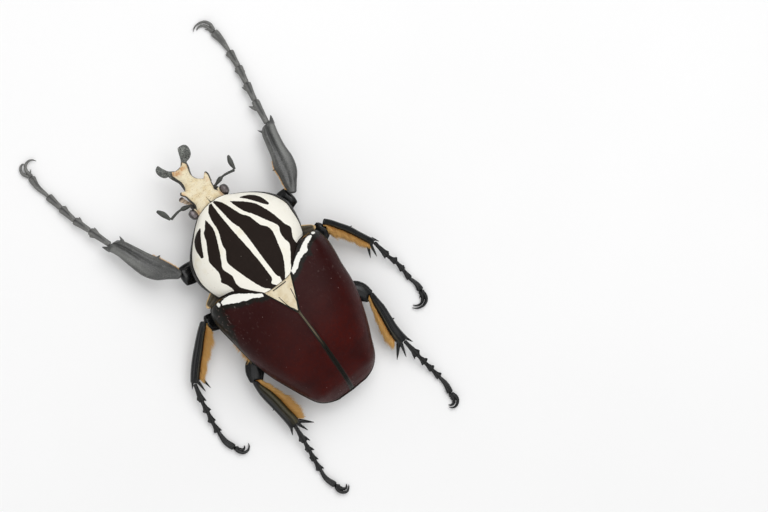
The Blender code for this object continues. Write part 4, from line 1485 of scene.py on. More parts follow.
RIGHT_EDGES = Edges(
    plate=((-1.0, 4.4), (0.0, 4.9), (1.2, 5.0), (2.4, 4.8), (3.2, 4.35), (3.9, 4.15), (5.0, 4.6),
           (6.9, 5.0), (7.8, 4.6), (8.4, 3.9), (9.1, 3.05), (10.0, 2.15), (11.2, 1.6), (12.6, 1.5)),
    stem_top=((9.0, 2.3), (10.6, 1.7), (12.2, 1.45), (13.6, 1.85), (15.0, 2.42), (16.2, 2.7)),
    stem_low=((9.0, 2.9), (11.2, 1.95), (12.7, 2.3), (14.2, 3.05), (15.6, 3.4)),
    lobe=(((2.4, 6.2), (5.1, 6.2)), ((3.2, 7.8), (5.5, 7.5)), ((4.0, 8.8), (5.78, 8.4)),
          ((4.8, 9.4), (5.78, 9.0)), ((5.25, 9.8), (5.6, 9.55))),
    lobe_dark=((4.5, 4.6), (6.2, 4.95), (7.5, 5.4), (8.4, 5.68), (9.0, 5.7), (9.7, 5.5)),
    prong=(((0.2, 15.0), (2.5, 14.0)), ((1.35, 16.2), (2.9, 15.1)), ((2.25, 17.1), (3.45, 15.72)),
           ((2.75, 18.0), (4.7, 15.85)), ((3.15, 18.9), (6.0, 16.6)), ((3.5, 19.6), (6.65, 17.9)),
           ((3.8, 20.2), (6.72, 19.2)), ((4.15, 20.65), (6.2, 20.2))))


@dataclass
class Head:
    """The head plate with its lobes, the forked horn that grows from it, and the eyes."""

    top: Knots = ((-1.0, 14.9), (1.0, 15.1), (3.0, 15.7), (7.0, 15.0), (12.0, 14.0), (15.0, 14.3),
                  (17.0, 14.7))
    under: Knots = ((-1.0, 9.6), (3.0, 9.3), (7.0, 9.9), (10.0, 10.7), (12.6, 11.3), (15.0, 11.8),
                    (17.0, 12.4))
    crotch: tuple[float, float, float] = (0.1, 19.5, 3.4)
    voxel: float = 0.105
    horn_from: float = 12.25
    fork: tuple[float, float] = (2.55, 16.2)
    fork_way: tuple[float, float] = (0.78, 0.63)
    groove: Knots = ((0.4, 0.3), (1.0, 0.24), (2.4, 0.12), (4.0, 0.02))
    groove_x: float = -0.17

    @staticmethod
    def outline(lateral: Array, low: Callable[[Edges], Knots], forward: Array) -> Array:
        """How far the head reaches on the side that a place's sign gives."""
        return np.where(lateral > 0, spline(low(LEFT_EDGES), forward), spline(low(RIGHT_EDGES), forward))

    def plate(self) -> Shape:
        """The flat plate from the neck to the root of the horn.

        Returns:
            The plate.
        """
        forward = np.linspace(-1.0, 12.6, 80)
        turn = 2 * math.pi * (np.arange(80) + 0.5) / 80
        f, a = np.meshgrid(forward, turn, indexing="ij")
        top, under = spline(self.top, f), spline(self.under, f)
        c, s = np.cos(a), np.sin(a)
        half = self.outline(c, lambda edges: edges.plate, f)
        x = squared(c, 3.4) * half
        z = (top + under) / 2 + squared(s, 3.0) * (top - under) / 2
        share = np.clip(np.abs(x) / half, 0, 1)
        hollow = 0.5 * hump(7.6, 2.6, f) * (1 - share ** 2) - 0.3 * hump(1.6, 1.5, f) * (1 - share)
        pinch = 0.35 * hump(3.9, 0.6, f) * share ** 2
        return tube(HEAD.place(x, f, z - np.where(s > 0, hollow + pinch, 0.0)))

    def stem(self) -> Shape:
        """The horn's stem: a narrow top on wider, sloping sides.

        Returns:
            The stem.
        """
        forward = np.linspace(9.0, 16.0, 50)
        turn = 2 * math.pi * (np.arange(72) + 0.5) / 72
        f, a = np.meshgrid(forward, turn, indexing="ij")
        c, s = np.cos(a), np.sin(a)
        rise = squared(s, 3.0)
        high = self.outline(c, lambda edges: edges.stem_top, f)
        low = self.outline(c, lambda edges: edges.stem_low, f)
        wide = low + (high - low) * smooth(-0.35, 0.95, rise)
        top, under = spline(self.top, f), spline(self.under, f)
        x = squared(c, 3.0) * wide
        bend = 0.9 * smooth(13.6, 16.0, f) * (np.clip(1 - np.abs(x) / 2.6, 0, 1))
        return tube(HEAD.place(x, f - bend, (top + under) / 2 + rise * (top - under) / 2))

    @staticmethod
    def arm(side: Side, pairs: Pairs, levels: Knots, depths: Knots, tip: float) -> Shape:
        """A flattened arm of the head, its edges given in the head's own axes.

        Args:
            side: The arm's side.
            pairs: Its inner and outer edge.
            levels: Its height.
            depths: Its thickness.
            tip: Share of the length over which its tip rounds off.

        Returns:
            The arm.
        """
        shape = ribbon(sided(pairs, side), levels, depths, ends=(0.03, tip), power=2.5)
        shape.points = HEAD.place(*shape.points.T)
        return shape.turned_out()

    def prong(self, side: Side) -> Shape:
        """One tine of the fork, ending in a blunt flattened club.

        Args:
            side: The tine's side.

        Returns:
            The tine.
        """
        edges = LEFT_EDGES if side is Side.LEFT else RIGHT_EDGES
        levels = ((0, 12.9), (0.25, 13.2), (0.45, 13.6), (0.7, 14.4), (1, 15.2))
        depths = ((0, 2.0), (0.25, 1.9), (0.4, 1.9), (0.6, 2.6), (0.8, 2.4), (1, 1.5))
        return self.arm(side, edges.prong, levels, depths, 0.1)

    def lobe(self, side: Side) -> Shape:
        """A pointed lobe at the plate's front corner.

        Args:
            side: The lobe's side.

        Returns:
            The lobe.
        """
        edges = LEFT_EDGES if side is Side.LEFT else RIGHT_EDGES
        levels = ((0, 13.6), (0.4, 14.0), (0.75, 14.4), (1, 14.9))
        depths = ((0, 1.9), (0.5, 1.5), (0.8, 1.0), (1, 0.5))
        return self.arm(side, edges.lobe, levels, depths, 0.12)

    def socket(self, side: Side) -> Shape:
        """The dark rim that the eye sits in, and the knob that carries the feeler.

        Args:
            side: The eye's side.

        Returns:
            The rim and the knob.
        """
        k = side.value
        path = [HEAD.place(k * 4.5, 0.2, 12.4), HEAD.place(k * 4.9, 2.2, 12.3),
                HEAD.place(k * 4.7, 4.2, 12.0)]
        rim = sweep(path, ((0, 1.3), (0.5, 1.5), (1, 1.2)), ((0, 2.6), (0.5, 3.0), (1, 1.6)), 20, 24)
        knob = sweep([HEAD.place(k * 4.0, 4.2, 11.4), HEAD.place(k * 5.2, 4.75, 11.3)],
                     ((0, 1.3), (1, 1.2)), ((0, 1.3), (1, 1.2)), 18, 14, (0.2, 0.4))
        return rim.joined(knob)

    def values(self, points: Array) -> dict[str, Array]:
        """Where the bloom stops and the dark shell shows, and where it is stained.

        Args:
            points: Places in the beetle's axes.

        Returns:
            The values dark and stain.
        """
        x, f, z = HEAD.read(points)
        side = np.abs(x)
        drop = spline(self.top, f) - z
        allowed = spline(((0.0, 1.5), (4.0, 1.35), (5.2, 1.0), (8.0, 0.95), (9.6, 1.0), (11.0, 0.85),
                          (16.0, 0.6)), f) + 0.5 * hump(7.6, 2.4, f) * smooth(3.6, 1.0, side)
        dark = drop - allowed
        dark = np.where((f > 6.0) & (side > 3.4), 13.75 - z, dark)
        dark = np.where((f < 4.4) & (side > 4.5), 12.9 - z, dark)
        cx, cy, radius = self.crotch
        between_tines = radius + 0.36 - np.hypot(x - cx, f - cy)
        tines = (side - self.fork[0]) * self.fork_way[0] + (f - self.fork[1]) * self.fork_way[1]
        tines = tines + 0.3 + 0.25 * np.sin(side * 5.0 + f * 2.0)
        lobe = self.outline(x, lambda edges: edges.lobe_dark, f)
        lobe_edge = np.minimum(side - lobe + 0.4, np.minimum(f - 4.4, 10.2 - f))
        tips = np.where(x > 0, np.hypot(x - 4.85, f - 10.05), np.hypot(x + 5.55, f - 9.8))
        groove = spline(self.groove, f) - np.abs(x - self.groove_x)
        groove = np.minimum(groove, np.minimum(f - 0.2, 3.9 - f))
        notch = np.minimum(0.7 - np.hypot(side - 4.9, f - 4.1), 14.6 - z)
        dark = np.maximum.reduce([dark, between_tines, tines, lobe_edge, 0.6 - tips, groove, notch])
        neck = smooth(13.0, 15.4, f) * smooth(4.6, 3.2, side)
        lobes = 0.6 * hump(8.6, 1.5, f) * smooth(3.0, 4.4, side)
        rims = 0.65 * hump(1.2, 1.6, f) * smooth(3.4, 4.7, side)
        return {"dark": dark, "stain": np.clip(0.95 * neck + lobes + rims, 0, 1)}

    def build(self) -> None:
        """Makes head, horn stem and prongs from one skin, parted where their colours change."""
        parts = [self.plate(), self.stem()]
        for side in Side:
            parts += [self.prong(side), self.lobe(side), self.socket(side)]
        skin = fused(parts, self.voxel, 4)
        x, f, z = HEAD.read(skin.points)
        groove = hump(self.groove_x, 0.16, x) * smooth(0.4, 1.0, f) * smooth(4.2, 3.0, f)
        skin.points[:, 2] -= 0.3 * (groove * smooth(13.0, 14.5, z))
        skin.values = self.values(skin.points)
        master = skin.mesh("head_skin")
        plane, ahead = HEAD.place(0.0, self.horn_from, 0.0), HEAD.heading(0.0, 1.0)
        self.part(master, "head_plate", CreamFinish(), "head_cream", "head", [(plane, -ahead)])
        necks = [(HEAD.place(side.value * self.fork[0], self.fork[1], 0.0),
                  HEAD.heading(side.value * self.fork_way[0], self.fork_way[1])) for side in Side]
        keep = [(plane, ahead), *((point, -away) for point, away in necks)]
        self.part(master, "horn_stem_fork", CreamFinish(), "head_cream", "horn_stem", keep)
        for side, (point, away) in zip(Side, necks):
            middle = (HEAD.place(0.0, 0.0, 0.0), side.value * HEAD.heading(1.0, 0.0))
            self.part(master, "horn_club_" + side.word, HORN, "horn_dark",
                      "horn_prong_" + side.word, [(point, away), middle])
        bpy.data.meshes.remove(master)
        self.eye(Side.RIGHT, 1.75, 0.94)
        self.eye(Side.LEFT, 2.35, 0.88)

    @staticmethod
    def part(master: bpy.types.Mesh, name: str, finish: Finish, slot: str, node: str,
             keep: list[tuple[Array, Array]]) -> None:
        """Cuts one piece from the whole skin.

        Args:
            master: The whole skin.
            name: The piece's name.
            finish: Its finish.
            slot: The record's material slot.
            node: The frame's solid that it stands for.
            keep: Planes, as a point and the direction of the side that is kept.
        """
        bm = bmesh.new()
        bm.from_mesh(master)
        for point, away in keep:
            geometry = [*bm.verts, *bm.edges, *bm.faces]
            cut = bmesh.ops.bisect_plane(bm, geom=geometry, plane_co=Vector(point) * MM,
                                         plane_no=-Vector(away), clear_outer=True)
            edges = [e for e in cut["geom_cut"] if isinstance(e, bmesh.types.BMEdge)]
            bmesh.ops.triangle_fill(bm, edges=edges, use_beauty=True, use_dissolve=False)
        bmesh.ops.recalc_face_normals(bm, faces=bm.faces)
        mesh = bpy.data.meshes.new(name)
        bm.to_mesh(mesh)
        bm.free()
        mesh.shade_smooth()
        mesh.set_sharp_from_angle(angle=math.radians(60))
        show(mesh, finish, slot, node)

    def eye(self, side: Side, forward: float, size: float) -> None:
        """One bulging eye, slightly pear-shaped, set into its socket.

        Args:
            side: The eye's side.
            forward: Its place in the head's axes.
            size: Its size, about 1.
        """
        k = side.value
        path = [HEAD.place(k * 5.5, forward - 2.0 * size, 12.9), HEAD.place(k * 6.1, forward, 13.15),
                HEAD.place(k * 5.9, forward + 1.9 * size, 12.9)]
        widths = scaled(size, (0, 1.6), (0.3, 2.8), (0.6, 3.1), (0.85, 2.6), (1, 1.6))
        depths = scaled(size, (0, 1.6), (0.3, 3.0), (0.6, 3.4), (0.85, 2.8), (1, 1.6))
        ball = sweep(path, widths, depths, sides=48, steps=48, ends=(0.3, 0.3))
        x, f, _ = HEAD.read(ball.points)
        away = np.hypot((x - k * 6.0) / 1.25, (f - forward) / 1.75) / size
        # Painted shade round the eye's rim.
        ball.values["collar"] = smooth(0.62, 0.95, away)
        add_piece("compound_eye_" + side.word, ball, EyeFinish(), "eye_dark", "eye_" + side.word)


@dataclass
class Feeler:
    """One antenna: a swollen first joint, small bead joints and a leaf-shaped club."""

    side: Side
    base: tuple[float, float, float]
    elbow: tuple[float, float, float]
    end: tuple[float, float, float]
    club_base: tuple[float, float, float]
    club_tip: tuple[float, float, float]
    club_width: float = 1.4
    beads: int = 6

    def build(self) -> None:
        """Makes the stalk and the club."""
        def beaded(angle: Array, share: Array) -> tuple[Array, Array]:
            """The stalk's section, a string of beads beyond the elbow.

            Args:
                angle: Places round the ring.
                share: Places along the limb.

            Returns:
                The ring's reach sideways and upwards.
            """
            bead = np.abs(np.sin(math.pi * self.beads * (share - 0.46) / 0.54)) ** 0.7
            pinch = np.where(share > 0.46, 0.8 + 0.2 * bead, 1.0)
            return np.cos(angle) * pinch, np.sin(angle) * pinch
        widths = ((0, 0.85), (0.1, 0.9), (0.26, 1.4), (0.36, 1.42), (0.46, 0.76), (0.6, 0.8), (1, 0.95))
        depths = ((0, 0.65), (0.1, 0.7), (0.3, 1.15), (0.4, 1.1), (0.46, 0.62), (1, 0.78))
        stalk = sweep([self.base, self.elbow, self.end], widths, depths, sides=28, steps=110,
                      ends=(0.03, 0.04), section=beaded)
        add_piece("feeler_stalk_" + self.side.word, stalk, FEELER, "antenna_dark",
                  "antenna_stalk_" + self.side.word)
        a, b = np.array(self.club_base), np.array(self.club_tip)
        side = unit(np.cross(b - a, (0, 0, 1.0)))
        steps = np.linspace(0.0, 1.0, 9)
        leaves = []
        for i in range(3):
            shift = np.array((0, 0, 0.36 * (i - 1))) + side * 0.1 * (i - 1)
            bow = side * 0.22 * self.side.value
            path = [a, (a + b) / 2 + shift + bow, b + shift * 0.8]
            widths = spline(((0, 0.4), (0.25, 0.76), (0.55, 1.0), (0.85, 0.68), (1, 0.3)), steps)
            leaves.append(sweep(path, tuple(zip(steps, widths * self.club_width)),
                                ((0, 0.5), (0.3, 0.42), (1, 0.34)), 24, 40, section=boxy(2.2)))
        add_piece("feeler_club_" + self.side.word, fused(leaves, 0.075, 2), FEELER, "antenna_dark",
                  "antenna_club_" + self.side.word)


@dataclass
class Mouth:
    """The parts under the head: chin plate, jaws and the palps."""

    def build(self) -> None:
        """Makes the mouthparts and the two palps."""
        chin = [HEAD.place(0.0, f, z) for f, z in ((0.9, 8.3), (3.4, 8.0), (6.2, 8.3), (9.3, 9.4))]
        body = sweep(chin, ((0, 4.2), (0.35, 5.6), (0.7, 5.0), (1, 2.8)),
                     ((0, 1.5), (0.4, 1.9), (1, 0.9)), 40, 50, (0.08, 0.08), boxy(3.0))
        parts = [body]
        for side in Side:
            k = side.value
            jaw = [HEAD.place(k * x, f, z) for x, f, z in
                   ((2.3, 3.4, 8.3), (2.9, 6.0, 8.6), (2.4, 8.6, 9.4), (1.6, 9.8, 9.9))]
            parts.append(sweep(jaw, ((0, 1.5), (0.5, 1.7), (1, 0.6)), ((0, 1.4), (0.5, 1.3), (1, 0.6)),
                               20, 30))
        skin = fused(parts, 0.13, 3)
        x, f, z = HEAD.read(skin.points)
        seam = hump(0.0, 0.16, x) * smooth(8.2, 7.8, z) + hump(4.8, 0.16, f) * smooth(8.4, 8.0, z)
        skin.points[:, 2] += 0.18 * np.clip(seam, 0, 1)
        skin.values = {"groove": np.clip(seam, 0, 1), "rust": 0.5 * smooth(5.0, 9.0, f)}
        add_piece("mouthparts_chin", skin, MOUTH, "mouth_brown", "mouthparts")
        for side in Side:
            k = side.value
            joints = ((3.8, 5.2, 8.7), (4.6, 6.4, 8.8), (5.15, 7.5, 9.0), (5.5, 8.9, 9.3))
            beads = []
            for i, wide in enumerate((1.0, 1.25, 1.5)):
                a, b = (HEAD.place(k * p[0], p[1], p[2]) for p in joints[i:i + 2])
                widths = scaled(wide, (0, 0.9), (0.6, 1.1), (1, 1.0))
                depths = scaled(wide, (0, 0.7), (0.6, 0.85), (1, 0.75))
                beads.append(sweep([a, (a + b) / 2, b + (b - a) * 0.12], widths, depths,
                                   22, 24, (0.15, 0.25)))
            palp = fused(beads, 0.085, 2)
            f = HEAD.read(palp.points)[1]
            seams = np.maximum(hump(6.4, 0.1, f), hump(7.5, 0.1, f))
            palp.values = {"rust": np.maximum(smooth(7.9, 8.7, f), 0.5 * seams), "groove": 0.2 * seams}
            add_piece("palp_joints_" + side.word, palp, PALP, "mouth_brown", "palp_" + side.word)


# --- Hair ---


# A hair is rings of three points and its tip. The rings stand at these shares of its length and
# have these shares of its width; the tile is a point's step on the OFBake map.
HAIR_STEPS = np.array((0.0, 0.35, 0.7, 0.92))
HAIR_TAPER = np.array((1.0, 0.95, 0.65, 0.3))
HAIR_CORNERS = (0.0, 2.0944, 4.1888)
HAIR_POINTS = len(HAIR_CORNERS) * len(HAIR_STEPS) + 1
HAIR_TILE = (0.001, 0.0008)


@dataclass
class Tufts:
    """Hair in tufts: many thin tapered blades, each tuft leaning together.

    Args of the fields: roots, leans and unwrap have one row for each tuft; leans hold the
    direction and length of a hair, and unwrap is the root's place on the skin's unwrap.
    """

    roots: Array
    leans: Array
    unwrap: Array
    hairs: int = 7
    width: float = 0.1
    spread: float = 0.35
    curl: float = 0.25
    gather: float = 0.5
    bunch: float = 0.16
    seed: int = 1

    def shape(self) -> Shape:
        """The blades as one mesh with the values tip and tuft, and the OFBake map.

        Returns:
            The hairs.
        """
        rng = np.random.default_rng(self.seed)
        count = len(self.roots)
        total = count * self.hairs
        own = np.repeat(np.arange(count), self.hairs)
        length = np.linalg.norm(self.leans, axis=1)
        offset = rng.normal(size=(total, 3)) * self.spread
        root = self.roots[own] + offset
        bunch = rng.normal(size=(count, 3)) * self.bunch * length[:, None]
        lean = self.leans + bunch
        tip = self.roots[own] + offset * (1 - self.gather) + lean[own] * rng.uniform(0.72, 1.12, (total, 1))
        tip += rng.normal(size=(total, 3)) * 0.05 * length[own][:, None]
        tip[:, 2] = np.maximum(tip[:, 2], 0.15)
        sag = np.cross(lean, (0, 0, 1.0))[own] * self.curl * rng.normal(0.0, 0.5, (total, 1))
        sag[:, 2] -= self.curl * 0.25 * length[own]
        line = [root + (tip - root) * s - sag * s * (1 - s) for s in HAIR_STEPS]
        ahead = unit(tip - root)
        first = unit(np.cross(ahead, rng.normal(size=(total, 3))))
        second = np.cross(ahead, first)
        half = self.width / 2 * HAIR_TAPER
        rings = [centre + (first * math.cos(turn) + second * math.sin(turn)) * reach
                 for centre, reach in zip(line, half) for turn in HAIR_CORNERS]
        points = np.stack([*rings, tip], 1)
        points[..., 2] = np.maximum(points[..., 2], 0.02)
        end = HAIR_POINTS - 1
        caps = [(end - 3 + a, end - 3 + (a + 1) % 3, end) for a in range(3)] + [(2, 1, 0)]
        base = (np.arange(total) * HAIR_POINTS)[:, None, None]
        faces = [(base + grid_quads(len(HAIR_STEPS), 3, closed=True)).reshape(-1, 4),
                 (base + np.array(caps)).reshape(-1, 3)]
        tone = np.repeat(rng.uniform(size=count), self.hairs)
        patch = np.array([(HAIR_TILE[0] * (i % 3), HAIR_TILE[1] * (i // 3))
                          for i in range(HAIR_POINTS)]) - 0.0012
        values = {"tip": np.tile(np.append(np.repeat(HAIR_STEPS, 3), 1.0), total),
                  "tuft": np.repeat(tone, HAIR_POINTS)}
        unwrap = (self.unwrap[own][:, None] + patch).reshape(-1, 2)
        return Shape(points.reshape(-1, 3), faces, values, np.clip(unwrap, 0.0, 1.0))


# --- The pose of the legs ---


@dataclass(frozen=True)
class Leg:
    """One leg in its pose, from the hip to the tips of the claws.

    Edges are pairs of inner and outer place in plan. A foot joint is its near end, the tip of
    its inner spine and its outer corner; the last joint is three places with their widths.
    """

    name: str
    kind: LegKind
    hip: tuple
    hip_size: tuple
    knee: tuple
    thigh: float
    shin: Pairs
    shin_levels: Knots
    spurs: tuple
    foot: tuple
    last: tuple
    claws: tuple
    foot_width: float
    brush: Knots = ()
    bend: tuple = ()

    @property
    def side(self) -> int:
        """The sign of X on the leg's side."""
        return 1 if self.name.endswith("left") else -1

    @property
    def outward(self) -> Array:
        """The level direction from the hip to the knee."""
        return unit(np.array((self.knee[0] - self.hip[0], self.knee[1] - self.hip[1], 0.0)))

    def thigh_path(self) -> list[Array]:
        """The thigh's start beside the hip, its middle and its end at the knee.

        Returns:
            The three places.
        """
        hip, knee = np.array(self.hip), np.array(self.knee)
        start = hip + self.outward * (self.hip_size[0] + 0.2)
        middle = np.array(self.bend) if self.bend else (start + knee) / 2 + np.array((0, 0, -0.9))
        return [start, middle, knee]


